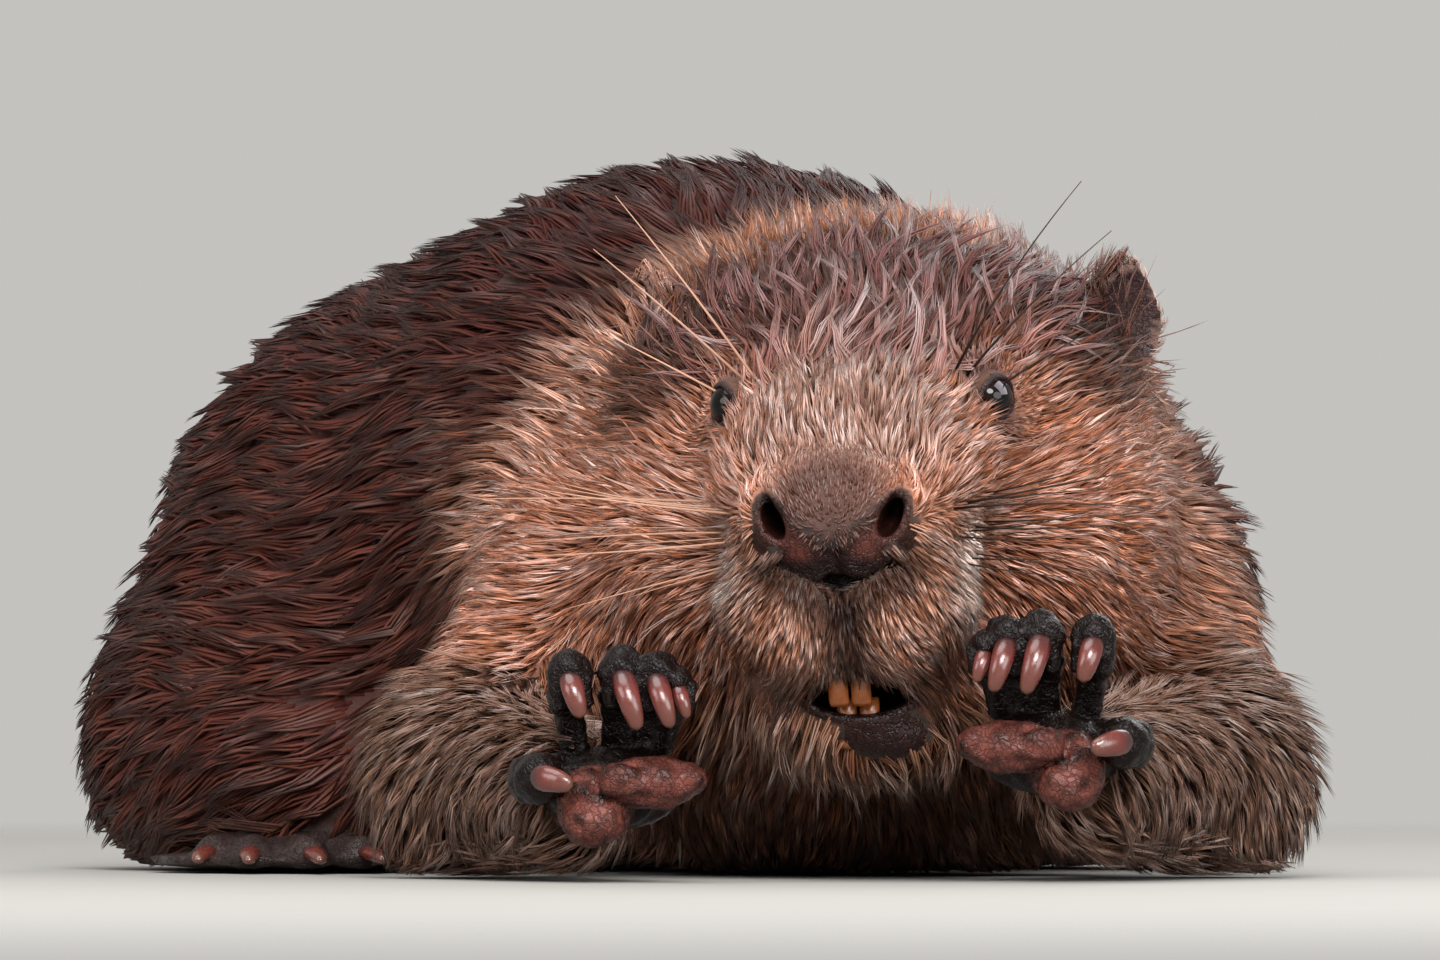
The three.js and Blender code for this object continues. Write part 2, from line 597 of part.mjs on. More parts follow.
function buildHead() {
  let head = net(bodyShape, ...ROOM.head, CELL.head);
  head = head.intersect(block(HEAD_BOX.at, HEAD_BOX.size, HEAD_FRAME)).subtract(mouthRoom());
  for (const side of ["left", "right"]) {
    head = head.subtract(ball(NOSTRIL.half, pairedFrame(side, NOSTRIL.at), 8));
    head = head.subtract(ball(ROUND_HOLLOW, pairedFrame(side, EYE_HOLLOW_AT), 8));
    head = head.subtract(ball(grown(EAR_HALF, SEAM), earFrame(side)));
    head = head.subtract(ball(grown(ROUND_EYE, SEAM), pairedFrame(side, EYE_AT)));
    for (const row of Object.keys(INCISOR_ROWS)) {
      head = head.subtract(incisorSolid(row, side, SEAM));
      addNode(`${row}_incisor_${side}`, incisorSolid(row, side), enamel);
    }
    head = head.subtract(pawBlank(side, SEAM)).subtract(armBox(side, 2 * SEAM));
    const cup = earFrame(side).multiply(place(EAR_CUP.at, new THREE.Matrix4()));
    addNode(`ear_${side}`, ball(EAR_HALF, earFrame(side)).subtract(ball(EAR_CUP.half, cup)), leather);
    addNode(`eye_${side}`, ball(ROUND_EYE, pairedFrame(side, EYE_AT)), eyeball);
  }
  addNode("head", head.subtract(floorBlock), faceCoat);
}

function buildTrunk() {
  const headRoom = block(HEAD_BOX.at, HEAD_BOX.size.clone().addScalar(2 * SEAM), HEAD_FRAME);
  const neckRoom = block(NECK_BOX.at, NECK_BOX.size.clone().addScalar(2 * SEAM), HEAD_FRAME);
  let neck = net(bodyShape, ...ROOM.neck, CELL.neck);
  neck = neck.intersect(block(NECK_BOX.at, NECK_BOX.size, HEAD_FRAME));
  let trunk = net(bodyShape, ...ROOM.trunk, CELL.trunk);
  trunk = trunk.subtract(headRoom).subtract(neckRoom).subtract(tailSolid(SEAM)).subtract(floorBlock);
  for (const side of ["left", "right"]) {
    const room = armBox(side, 2 * SEAM);
    trunk = trunk.subtract(room).subtract(thighRegion(side, 2 * SEAM)).subtract(heelBox(side, 2 * SEAM));
    neck = neck.subtract(room).subtract(ball(grown(EAR_HALF, SEAM), earFrame(side)));
    neck = neck.subtract(thighRegion(side, 2 * SEAM));
  }
  addNode("trunk", trunk, coat);
  addNode("neck", neck, coat);
}

function pawBlank(side, swell = 0) {
  const { elbow, wrist } = ARMS[side];
  const grip = GRIP[side];
  const forearm = limb(elbow, wrist, ARM_THICK.elbow, ARM_THICK.wrist);
  const whole = blend(WRIST_BLEND, inFrame(PAW_FRAME[side], pawShape), forearm);
  const room = ROOM.paw.map((corner) => grip.clone().add(corner));
  return net((p) => whole(p) - swell, ...room, CELL.paw).intersect(wristBox(side, 2 * swell));
}

function buildForelimb(side) {
  const { elbow, wrist } = ARMS[side];
  const middle = elbow.clone().lerp(wrist, 0.5);
  let arm = net(bodyShape, ...ROOM.arm.map((corner) => middle.clone().add(corner)), CELL.arm);
  arm = arm.intersect(armBox(side)).subtract(wristBox(side, 2 * SEAM)).subtract(floorBlock);
  addNode(`foreleg_${side}`, arm, coat);
  let paw = pawBlank(side).subtract(floorBlock);
  pawClaws(side, SEAM).forEach((room) => {
    paw = paw.subtract(room);
  });
  addNode(`forepaw_${side}`, paw, leather);
  pawClaws(side, 0).forEach((claw, n) => addNode(`fore_claw_${side}_${n + 1}`, claw, nail));
}

function buildHindlimb(side) {
  const centre = V(SIDE[side] * THIGH_MIDDLE.x, THIGH_MIDDLE.y, 0).applyMatrix4(TRUNK_FRAME);
  const leg = net(bodyShape, ...ROOM.leg.map((corner) => centre.clone().add(corner)), CELL.leg);
  addNode(`hindleg_${side}`, leg.intersect(thighRegion(side)), coat);
  const frame = footFrame(side);
  addNode(`hindfoot_${side}`, footSolid(frame), leather);
  footClaws(frame).forEach((claw, n) => addNode(`hind_claw_${side}_${n + 1}`, claw, nail));
}

buildHead();
buildTrunk();
["left", "right"].forEach((side) => {
  buildForelimb(side);
  buildHindlimb(side);
});
addNode("tail", tailSolid().subtract(floorBlock), scaly);

// The trunk is brought onto Y, and the origin to the middle of the underside.
root.rotation.z = -TRUNK_SWING * RAD;
const extent = new THREE.Box3().setFromObject(root, true);
const middle = extent.getCenter(V(0, 0, 0));
root.position.set(-middle.x, -middle.y, -extent.min.z);

export default root;
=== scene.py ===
"""A still, life-size Eurasian beaver: one skin over the whole body, a coat of solid wet locks, and
glossy eyes, claws, whiskers and a scaly tail, set on a plain stage.

The body is laid out in millimetres facing -Y, with its left side on +X, and every piece is turned
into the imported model's frame when its mesh is made.
"""

import math

import bpy
import numpy as np
from bpy.props import FloatProperty, FloatVectorProperty, IntProperty, PointerProperty
from bpy.types import Operator, Panel, PropertyGroup
from mathutils import Matrix, Vector


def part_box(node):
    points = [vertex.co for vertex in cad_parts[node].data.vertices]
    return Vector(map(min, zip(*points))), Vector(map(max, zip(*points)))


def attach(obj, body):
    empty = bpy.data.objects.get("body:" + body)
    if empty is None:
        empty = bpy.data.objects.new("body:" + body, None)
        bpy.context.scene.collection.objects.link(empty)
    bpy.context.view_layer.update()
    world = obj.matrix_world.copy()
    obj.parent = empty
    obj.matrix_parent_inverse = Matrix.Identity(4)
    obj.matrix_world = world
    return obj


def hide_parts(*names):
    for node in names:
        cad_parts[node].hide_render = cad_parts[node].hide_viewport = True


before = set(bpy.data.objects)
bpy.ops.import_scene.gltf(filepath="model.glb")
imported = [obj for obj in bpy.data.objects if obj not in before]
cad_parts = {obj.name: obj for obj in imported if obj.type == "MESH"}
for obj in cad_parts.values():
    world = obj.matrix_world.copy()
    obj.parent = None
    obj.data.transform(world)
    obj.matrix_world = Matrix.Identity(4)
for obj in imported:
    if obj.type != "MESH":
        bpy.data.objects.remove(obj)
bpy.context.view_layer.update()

bl_info = {
    "name": "Beaver",
    "version": (1, 0, 0),
    "blender": (4, 5, 0),
    "location": "3D View > Sidebar > Beaver",
    "description": "A still, life-size beaver with its coat, claws, whiskers and scaly tail",
    "category": "Add Mesh",
}

MM = 0.001
SIDES = {"left": 1, "right": -1}

# ------------------------------------------------------------------ the body's own sizes, in mm
TRUNK_ORIGIN = (50, 190, 0)
TRUNK_SWING = 23
HEAD_ORIGIN = (52.8, 144.9, 140.7)
HEAD_TURN = (10, -1.5, -8)

TRUNK = {
    "chest": ((6, 14, 84), (121, 104, 92)),
    "back": ((-4, 124, 110), (124, 150, 117)),
    "loin": ((0, 236, 92), (134, 128, 108)),
    "rump": ((0, 316, 58), (92, 74, 60)),
}
HIP = ((71, 216, 102), (64, 98, 66))
THIGH = ((116, 205, 36), (61, 108, 62))
NECK = ((44, 196, 122), (84, 74, 72))
TRUNK_BLEND = 46
NECK_BLEND = 36

HEAD = {
    "crown": ((3, -8, 6), (75, 74, 50)),
    "face": ((0, -72, -4), (44, 58, 38)),
    "muzzle": ((0, -102, -16), (38, 46, 34)),
    "lip": ((0, -117, -36), (37, 30, 27)),
    "jaw": ((3, -86, -69), (37, 46, 28)),
    "throat": ((0, -14, -58), (72, 62, 46)),
}
CHEEK = ((47, -32, -31), (41, 52, 45))
NOSE = ((0, -140, -8), (22, 13, 17.5))
HEAD_BLEND = 20
NOSE_BLEND = 7

# Features of the face that only the skin has.
NOSTRIL_WING = ((17.5, -140, -9), (8, 9, 11.5))
NOSTRIL = ((17.4, -148, -8.4), (3.3, 16, 5.4))
NOSTRIL_LEAN = 0.3
NOSTRIL_SLIT = ((20, -148, -3), (25.5, -139, 5.5))
NOSE_GROOVE = ((0, -155, -6), (0, -151, -24))
UNDER_NOSE = ((-15.5, -143.5, -22), (0.5, -146.5, -29), (16.5, -143.5, -22))
UNDER_NOSE_THICK = 3.8
PHILTRUM = ((1.5, -153, -29), (2.5, -148, -54))
MUZZLE_RIM = ((2, -22), (36, 36))  # across and up: the oval fold that parts the muzzle from the cheeks
MOUTH = ((3, -130, -64), (16.5, 34, 6))
MOUTH_CURVE = 0.003
LOWER_LIP = ((10.5, -123, -78), (13.5, 7.5, 6.5))
LIP_PAD = ((17, -127, -39), (18.5, 21, 18))
INCISOR = {"half_width": 3.1, "half_depth": 2.3, "bow": 1.2, "gap": 0.3}
INCISOR_ROWS = {
    "upper": {"root": (0.5, -131, -50), "reach": -17},
    "lower": {"root": (2, -125.5, -80), "reach": 14.5},
}

EYE_RADIUS = 7.2
EYE_AT = (38.2, -72, 15)
EYE_GAZE = (0.8, -0.6, 0.1)

EAR_AT = (70, 3, 25)
EAR_HALF = (15, 6.5, 18.5)
EAR_TURN = {"left": (4, 10, 44), "right": (10, -14, -78)}
EAR_CUP = ((0, -3.6, 1.5), (12.6, 5.2, 15.6))
EAR_POINT = 0.34  # how much narrower the ear is at its tip

ARMS = {
    "left": {"shoulder": (118, 184, 82), "elbow": (146, 136, 31), "wrist": (110, 36, 30)},
    "right": {"shoulder": (-36, 160, 82), "elbow": (-74, 120, 31), "wrist": (-44, 36, 25)},
}
ARM_THICK = {"shoulder": 42, "elbow": 31, "wrist": 18}
ARM_BLEND = 20

GRIP = {"left": (97.5, -2, 56), "right": (-32, -2, 45.5)}
PALM = ((0, 17, -18), (21, 13, 12))
PADS = (((-12, 1, -16), (14.5, 10, 7.8)), ((5, 6, -23), (11, 11, 11.5)))
PAD_LOBES = (((-22, 0, -15), (6, 7, 5)), ((-4, -3, -15.5), (8, 7, 6)), ((5, -1, -27), (9, 6.5, 8)))
FINGER_THICK = 6.3
FINGER_SLIM = 0.8  # the finger's own thickness under its hood
FINGER_SPREAD = (-18.5, -12, -2, 13.5)
FINGER_SIZE = (0.5, 0.94, 1.1, 1)
CLAW_LENGTH = (11, 18, 20, 15)
LITTLE_TOE = ((15, 20, -14), (23, 9, -15), (21, -1, -15))
LITTLE_TOE_THICK = 7.4

FOOT_HEEL = (122, 262, 0)
FOOT_SPLAY = 9
TARSUS = ((0, -44, 8), (21, 58, 7.6))
BALL = (0, -84, 7.3)
WEB = ((0, -118, 4), (42, 48, 3.2))
TOE_ANGLE = (-27, -14, -1, 12, 25)
TOE_LENGTH = (58, 76, 84, 80, 62)

TAIL_ROOT = (-88, 506, 34)
TAIL_LENGTH = 318
TAIL_SWING = 2
BLADE_HALF_WIDTH = 66
TAIL_ROOT_HALF = (40, 27)
BLADE_HALF_HEIGHT = (15, 5)
TAIL_FLAT = 2.2

FAR = 60.0  # stands for "a long way off" where a small shape isn't worked out


# ------------------------------------------------------------------ turning and placing
def turn(x, y, z):
    """Rotation matrix for angles in degrees, about Y first, then X, then Z."""
    about = [Matrix.Rotation(math.radians(a), 3, axis) for a, axis in ((z, "Z"), (x, "X"), (y, "Y"))]
    return np.array(about[0] @ about[1] @ about[2])


class Place:
    """Where a part stands: its origin and its rotation, or a mirror image of it."""

    def __init__(self, origin, matrix=None):
        self.origin = np.array(origin, float)
        self.matrix = np.eye(3) if matrix is None else np.array(matrix, float)

    def into(self, p):
        """Points of the layout, three rows of them, in this part's own axes."""
        return (np.linalg.inv(self.matrix) @ (p - self.origin[:, None])).astype(p.dtype)

    def out(self, p):
        """Points in the part's own axes, back in the layout."""
        p = np.asarray(p, float)
        if p.ndim == 1:
            return self.matrix @ p + self.origin
        return self.matrix @ p + self.origin[:, None]

    def within(self, origin, matrix=None):
        """The place of a part that hangs on this one."""
        inner = np.eye(3) if matrix is None else matrix
        return Place(self.out(origin), self.matrix @ inner)


HEAD_PLACE = Place(HEAD_ORIGIN, turn(*HEAD_TURN))
TRUNK_PLACE = Place(TRUNK_ORIGIN, turn(0, 0, TRUNK_SWING))
PAW_PLACE = {"left": Place(GRIP["left"]), "right": Place(GRIP["right"], np.diag([-1.0, 1, 1]))}
TAIL_PLACE = Place((TAIL_ROOT[0], TAIL_ROOT[1], 0), turn(0, 0, -TAIL_SWING))
FOOT_PLACE = {
    side: TRUNK_PLACE.within((sign * FOOT_HEEL[0], FOOT_HEEL[1], 0), turn(0, 0, sign * FOOT_SPLAY))
    for side, sign in SIDES.items()
}


def paired(at, side):
    """A place on the head that is given for the left side, on either side."""
    return (SIDES[side] * at[0], at[1], at[2])


def ear_place(side):
    return HEAD_PLACE.within(paired(EAR_AT, side), turn(*EAR_TURN[side]))


ROW_TURN = turn(0, 0, -TRUNK_SWING)
EYE_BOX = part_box("eye_left")
ROW_SHIFT = np.array((EYE_BOX[0] + EYE_BOX[1]) / 2) - ROW_TURN @ HEAD_PLACE.out(EYE_AT) * MM


def to_row(points):
    """Points of the layout in mm, one per line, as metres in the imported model's frame."""
    return np.asarray(points, float) @ ROW_TURN.T * MM + ROW_SHIFT


# ------------------------------------------------------------------ signed distances, in mm
def column(v):
    return np.asarray(v, np.float32).reshape(3, 1)


def length(p):
    return np.sqrt(p[0] * p[0] + p[1] * p[1] + p[2] * p[2])


def smooth(low, high, value):
    """0 below low, 1 above high, and an even slope between."""
    share = np.clip((value - low) / (high - low), 0, 1)
    return share * share * (3 - 2 * share)


def ellipsoid(p, shape):
    at, half = shape
    d = (p - column(at)) / column(half)
    near = length(d)
    return near * (near - 1) / np.maximum(length(d / column(half)), 1e-6)


def limb(p, start, end, thick_start, thick_end):
    start, along = column(start), column(end) - column(start)
    share = np.clip(((p - start) * along).sum(0) / float((along * along).sum()), 0, 1)
    return length(p - start - share * along) - (thick_start + (thick_end - thick_start) * share)


def folded(p):
    """The same points with the right side laid over the left."""
    return np.stack([np.abs(p[0]), p[1], p[2]])


def join(reach, *distances):
    """One surface from several, with a fillet of that reach between them."""
    total = distances[0]
    for d in distances[1:]:
        h = np.maximum(reach - np.abs(total - d), 0) / reach
        total = np.minimum(total, d) - h * h * reach / 4
    return total


def carve(reach, body, tool):
    return -join(reach, -body, tool)


def ripple(p, wavelength, seed):
    """A smooth, repeatable value from about -1 to 1 for each point, three rows of them."""
    rng = np.random.default_rng(seed)
    waves = rng.normal(size=(6, 3))
    waves *= (2 * math.pi / wavelength * rng.uniform(0.7, 1.4, 6) / np.linalg.norm(waves, axis=1))[:, None]
    phases = rng.uniform(0, 2 * math.pi, (6, 1))
    return np.sin(waves @ p + phases).mean(0) * 1.7


def only_near(p, centre, reach, shape):
    """A small shape's distance, worked out only for the points near it."""
    gap = length(p - column(centre)) - reach
    out = np.maximum(gap, 0) + FAR
    close = gap < 0
    if close.any():
        out[close] = np.minimum(shape(p[:, close]), FAR)
    return out


def head_mass(h):
    masses = [ellipsoid(h, mass) for mass in HEAD.values()]
    whole = join(HEAD_BLEND, *masses, ellipsoid(folded(h), CHEEK))
    return join(NOSE_BLEND, whole, ellipsoid(h, NOSE))


def arm_mass(p, side):
    arm = ARMS[side]
    upper = limb(p, arm["shoulder"], arm["elbow"], ARM_THICK["shoulder"], ARM_THICK["elbow"])
    fore = limb(p, arm["elbow"], arm["wrist"], ARM_THICK["elbow"], ARM_THICK["wrist"])
    return join(ARM_BLEND, upper, fore)


def coat_surface(p):
    """Distance to the tips of the coat over the whole body, bare feet and tail apart."""
    t = TRUNK_PLACE.into(p)
    pair = folded(t)
    masses = [ellipsoid(t, mass) for mass in TRUNK.values()]
    trunk = join(TRUNK_BLEND, *masses, ellipsoid(pair, HIP), ellipsoid(pair, THIGH))
    body = join(NECK_BLEND, trunk, ellipsoid(p, NECK), head_mass(HEAD_PLACE.into(p)))
    return join(ARM_BLEND, body, arm_mass(p, "left"), arm_mass(p, "right"))


def finger_joints(n):
    out, size = FINGER_SPREAD[n], FINGER_SIZE[n]
    return (
        (out * 0.8, 24, -5),
        (out, 19, 4 + 5 * size),
        (out - 0.5, 5, 8 + 6.5 * size),
        (out - 1, -4.5, 6.5 + 6.5 * size),
    )


def toe_chain(p, joints, thick):
    """A finger: slimmer between its joints, with a knuckle at each."""
    parts = []
    for start, end in zip(joints, joints[1:]):
        parts.append(limb(p, start, end, thick * 0.9, thick * 0.86))
        parts.append(length(p - column(end)) - thick * 0.98)
    return join(2.5, *parts)


def claw_root(n):
    """Where a finger's claw starts, in the paw's own axes."""
    return np.array(finger_joints(n)[-1]) + (-0.3, -3.2, 2.4)


def finger_hood(p, root, size, down):
    """The wrinkled flesh round a claw's root and along both its sides."""
    root, down = np.array(root, float), np.array(down, float)
    hood = ellipsoid(p, (root + (0, 3.6, 0) - down * 1.5, (6.1 * size, 6.3, 6.6 * size)))
    aside = np.cross(down, (0, 1, 0)) * 4.3 * size
    back = np.array((0, 1.6, 0))
    folds = []
    for way in (1, -1):
        start = root + aside * way + back
        end = root + aside * way * 0.85 + back + down * 8 * size
        folds.append(limb(p, start, end, 2.7 * size, 1.9))
    return join(2, hood, *folds)


def paw_mass(p):
    parts = [ellipsoid(p, PALM)]
    for n, size in enumerate(FINGER_SIZE):
        thick = math.sqrt(size)
        parts.append(toe_chain(p, finger_joints(n), FINGER_THICK * FINGER_SLIM * thick))
        parts.append(finger_hood(p, claw_root(n), thick, (-0.1, 0, -1)))
    parts.append(toe_chain(p, LITTLE_TOE, LITTLE_TOE_THICK))
    whole = join(1.2, *parts)
    pads = join(0.6, *[ellipsoid(p, pad) for pad in PADS + PAD_LOBES])
    whole = join(1, whole, pads + 0.3 * ripple(p, 5, 44))
    return whole + 0.2 * ripple(p, 3.2, 41) + 0.6 * ripple(p, 7, 42)


def toe_end(n, share=1.0):
    angle = math.radians(TOE_ANGLE[n])
    reach = TOE_LENGTH[n] * share
    height = BALL[2] + (6.6 - BALL[2]) * share
    return (BALL[0] + math.sin(angle) * reach, BALL[1] - math.cos(angle) * reach, height)


def foot_mass(p):
    toes = [
        join(3, limb(p, toe_end(n, -0.2), toe_end(n, 0.98), 6.3, 5.2),
             length(p - column(toe_end(n, 0.5))) - 6.8)
        for n in range(len(TOE_ANGLE))
    ]
    return join(4, ellipsoid(p, TARSUS), ellipsoid(p, WEB), *toes)


def tail_profile(t):
    """Half width, half thickness and height of the middle of the tail at each share of its length."""
    into_blade = smooth(0.1, 0.42, t)
    tip = np.sqrt(np.maximum(1 - (np.maximum(t - 0.58, 0) / 0.42) ** 2, 0.02))
    width = (TAIL_ROOT_HALF[0] + (BLADE_HALF_WIDTH - TAIL_ROOT_HALF[0]) * into_blade) * tip
    blade = BLADE_HALF_HEIGHT[0] + (BLADE_HALF_HEIGHT[1] - BLADE_HALF_HEIGHT[0]) * t
    thick = TAIL_ROOT_HALF[1] + (blade - TAIL_ROOT_HALF[1]) * smooth(0, 0.3, t)
    middle = np.maximum(thick - TAIL_FLAT, TAIL_ROOT[2] * (1 - np.minimum(t * 4, 1)))
    return width, thick, middle


def tail_mass(p):
    q = TAIL_PLACE.into(p)
    t = np.clip(q[1] / TAIL_LENGTH, 0, 1)
    width, thick, middle = tail_profile(t)
    section = (np.hypot(q[0] / width, (q[2] - middle) / thick) - 1) * thick
    return np.maximum(section, np.abs(q[1] - TAIL_LENGTH / 2) - TAIL_LENGTH / 2)


def ear_mass(q):
    """A thick little ear, narrower at its tip, with a cup let into its front, in the ear's own axes."""
    narrow = 1 - EAR_POINT * smooth(-0.1, 1, q[2] / EAR_HALF[2])
    p = np.stack([q[0] / narrow, q[1], q[2]])
    return carve(2, ellipsoid(p, ((0, 0, 0), EAR_HALF)), ellipsoid(p, EAR_CUP)) * 0.8


def coat_depth(p, h):
    """How thick the coat is over the skin, everywhere on the body."""
    body = bpy.context.scene.beaver_body
    from_nose = length(h - column(NOSE[0]))
    depth = body.face_depth * (0.06 + 1.1 * smooth(14, 120, from_nose))
    on_trunk = smooth(10, 90, h[1])
    depth = depth + (body.trunk_depth - body.face_depth + 2.2 * ripple(p, 34, 3)) * on_trunk
    near_eye = length(folded(h) - column(EYE_AT))
    depth = depth * (0.45 + 0.55 * smooth(8, 24, near_eye))
    near_mouth = length((h - column((0, -132, -60))) / column((1, 1, 0.6)))
    depth = depth * (0.25 + 0.75 * smooth(16, 44, near_mouth))
    for side in SIDES:
        from_wrist = length(p - column(ARMS[side]["wrist"]))
        depth = np.minimum(depth, 2.5 + 7 * smooth(16, 90, from_wrist))
    return depth


def paws_and_feet(p):
    """Distance to the bare limbs, the nearest of each kind."""
    distance = np.full(p.shape[1], FAR, np.float32)
    for side in SIDES:
        paw = PAW_PLACE[side]
        foot = FOOT_PLACE[side]
        near_paw = only_near(p, paw.out((0, 5, -5)), 48, lambda q: paw_mass(paw.into(q)))
        near_foot = only_near(p, foot.out((0, -78, 6)), 106, lambda q: foot_mass(foot.into(q)))
        distance = np.minimum(distance, np.minimum(near_paw, near_foot))
    return distance


def skin_surface(p):
    """Distance to the skin: the flesh under the coat, with the face's folds and the bare parts."""
    h = HEAD_PLACE.into(p)
    flesh = coat_surface(p) + coat_depth(p, h)
    flesh = face_folds(h, flesh)
    flesh = join(6, flesh, paws_and_feet(p))
    for side in SIDES:
        place = ear_place(side)
        ear = only_near(p, place.origin, 24, lambda q, place=place: ear_mass(place.into(q)))
        flesh = join(5, flesh, ear)
    tail = only_near(p, TAIL_PLACE.out((0, TAIL_LENGTH / 2, 20)), 190, tail_mass)
    flesh = join(10, flesh, tail)
    under = bpy.context.scene.beaver_body.floor_gap
    return np.maximum(flesh, under - p[2])


def nostril(pair):
    """The hole of a nostril, leaning outwards at its top."""
    at, half = NOSTRIL
    lean = pair[0] - NOSTRIL_LEAN * (pair[2] - at[2])
    return ellipsoid(np.stack([lean, pair[1], pair[2]]), (at, half))


def mouth(h):
    """The slit of the mouth, its corners higher than its middle."""
    rise = h[2] - MOUTH_CURVE * (h[0] - MOUTH[0][0]) ** 2
    return ellipsoid(np.stack([h[0], h[1], rise]), MOUTH)


def muzzle_rim(h):
    """How far each place is outside the muzzle's rim, seen from the front, in mm; less than 0 on it."""
    (x, z), (wide, high) = MUZZLE_RIM
    return (np.hypot((h[0] - x) / wide, (h[2] - z) / high) - 1) * min(wide, high)


def muzzle_fold(h):
    """1 along the fold round the muzzle, fading to 0 beside it."""
    on_front = smooth(-78, -92, h[1]) * smooth(2, -16, h[2])
    return np.exp(-((muzzle_rim(h) / 4.5) ** 2)) * on_front


def incisor_place(row, side):
    """Middle of a front tooth's root, in the head's own axes."""
    x, y, z = INCISOR_ROWS[row]["root"]
    return np.array((x + SIDES[side] * (INCISOR["half_width"] + INCISOR["gap"]), y, z))


def under_nose(h):
    """The dark fold under the nose, lowest in its middle."""
    left, middle, right = UNDER_NOSE
    halves = [limb(h, middle, end, UNDER_NOSE_THICK, UNDER_NOSE_THICK * 0.6) for end in (left, right)]
    return np.minimum(*halves)


def over_crease(h):
    """Height over the line of the fold under the nose, in mm."""
    _, (x, _, low), (end, _, high) = UNDER_NOSE
    return h[2] - low - (high - low) * np.abs(h[0] - x) / (end - x)


FACE_MIDDLE = (0, -105, -25)
FACE_REACH = 90


def face_folds(h, flesh):
    """Nose, nostrils, lips and eye sockets, worked into the flesh of the head."""
    near = length(h - column(FACE_MIDDLE)) < FACE_REACH
    if not near.any():
        return flesh
    q = h[:, near]
    pair = folded(q)
    face = flesh[near] + 4.5 * muzzle_fold(q)
    face = join(5, face, ellipsoid(q, NOSE), ellipsoid(pair, NOSTRIL_WING))
    face = join(7, face, ellipsoid(pair, LIP_PAD), ellipsoid(q, LOWER_LIP))
    face = carve(2, face, nostril(pair))
    face = carve(2, face, limb(pair, *NOSTRIL_SLIT, 2.4, 0.9))
    face = carve(3, face, limb(q, *NOSE_GROOVE, 0.9, 2.0))
    face = carve(2, face, under_nose(q))
    face = carve(5, face, limb(q, *PHILTRUM, 3.2, 3.2))
    face = carve(2.5, face, mouth(q))
    gaze = np.array(EYE_GAZE) / np.linalg.norm(EYE_GAZE)
    socket = length(pair - column(np.array(EYE_AT) + gaze * 3.2)) - (EYE_RADIUS + 0.6)
    flesh = flesh.copy()
    flesh[near] = carve(3, face, socket)
    return flesh


# ------------------------------------------------------------------ a surface from a distance
BLOCK = 8


def lattice(*stretches):
    """Lattice lines over stretches of (start, end, step), padded to a whole number of blocks."""
    lines = [np.arange(start, end - step / 2, step) for start, end, step in stretches]
    lines = np.concatenate(lines)
    missing = (1 - len(lines)) % BLOCK
    last = stretches[-1][2]
    return np.concatenate([lines, lines[-1] + last * np.arange(1, missing + 1)]).astype(np.float32)


def sample_blocks(shape, axes):
    """The shape's value at every lattice point, worked out in full only near its surface."""
    counts = [len(a) for a in axes]
    starts = [np.arange(0, n - 1, BLOCK) for n in counts]
    grid = np.stack(np.meshgrid(*starts, indexing="ij")).reshape(3, -1)
    low = np.stack([axes[k][grid[k]] for k in range(3)])
    high = np.stack([axes[k][grid[k] + BLOCK] for k in range(3)])
    centre = shape((low + high) / 2)
    value = np.empty(counts, np.float32)
    spread = np.arange(BLOCK + 1)
    cell = np.stack(np.meshgrid(spread, spread, spread, indexing="ij")).reshape(3, -1)
    reach = length(high - low) / 2 * 1.35 + 3
    close = np.abs(centre) < reach
    for (i, j, k), d in zip(grid[:, ~close].T, centre[~close]):
        value[i : i + BLOCK + 1, j : j + BLOCK + 1, k : k + BLOCK + 1] = d
    for part in np.array_split(grid[:, close], max(1, int(close.sum()) // 400), axis=1):
        index = part[:, :, None] + cell[:, None, :]
        points = np.stack([axes[k][index[k]] for k in range(3)]).reshape(3, -1)
        value[tuple(index)] = shape(points).reshape(index.shape[1:])
    return value


def slope_of(shape, p, probe=0.25):
    """The shape's gradient at each point."""
    out = np.empty_like(p)
    for k in range(3):
        step = np.zeros((3, 1), p.dtype)
        step[k] = probe
        out[k] = (shape(p + step) - shape(p - step)) / (2 * probe)
    return out


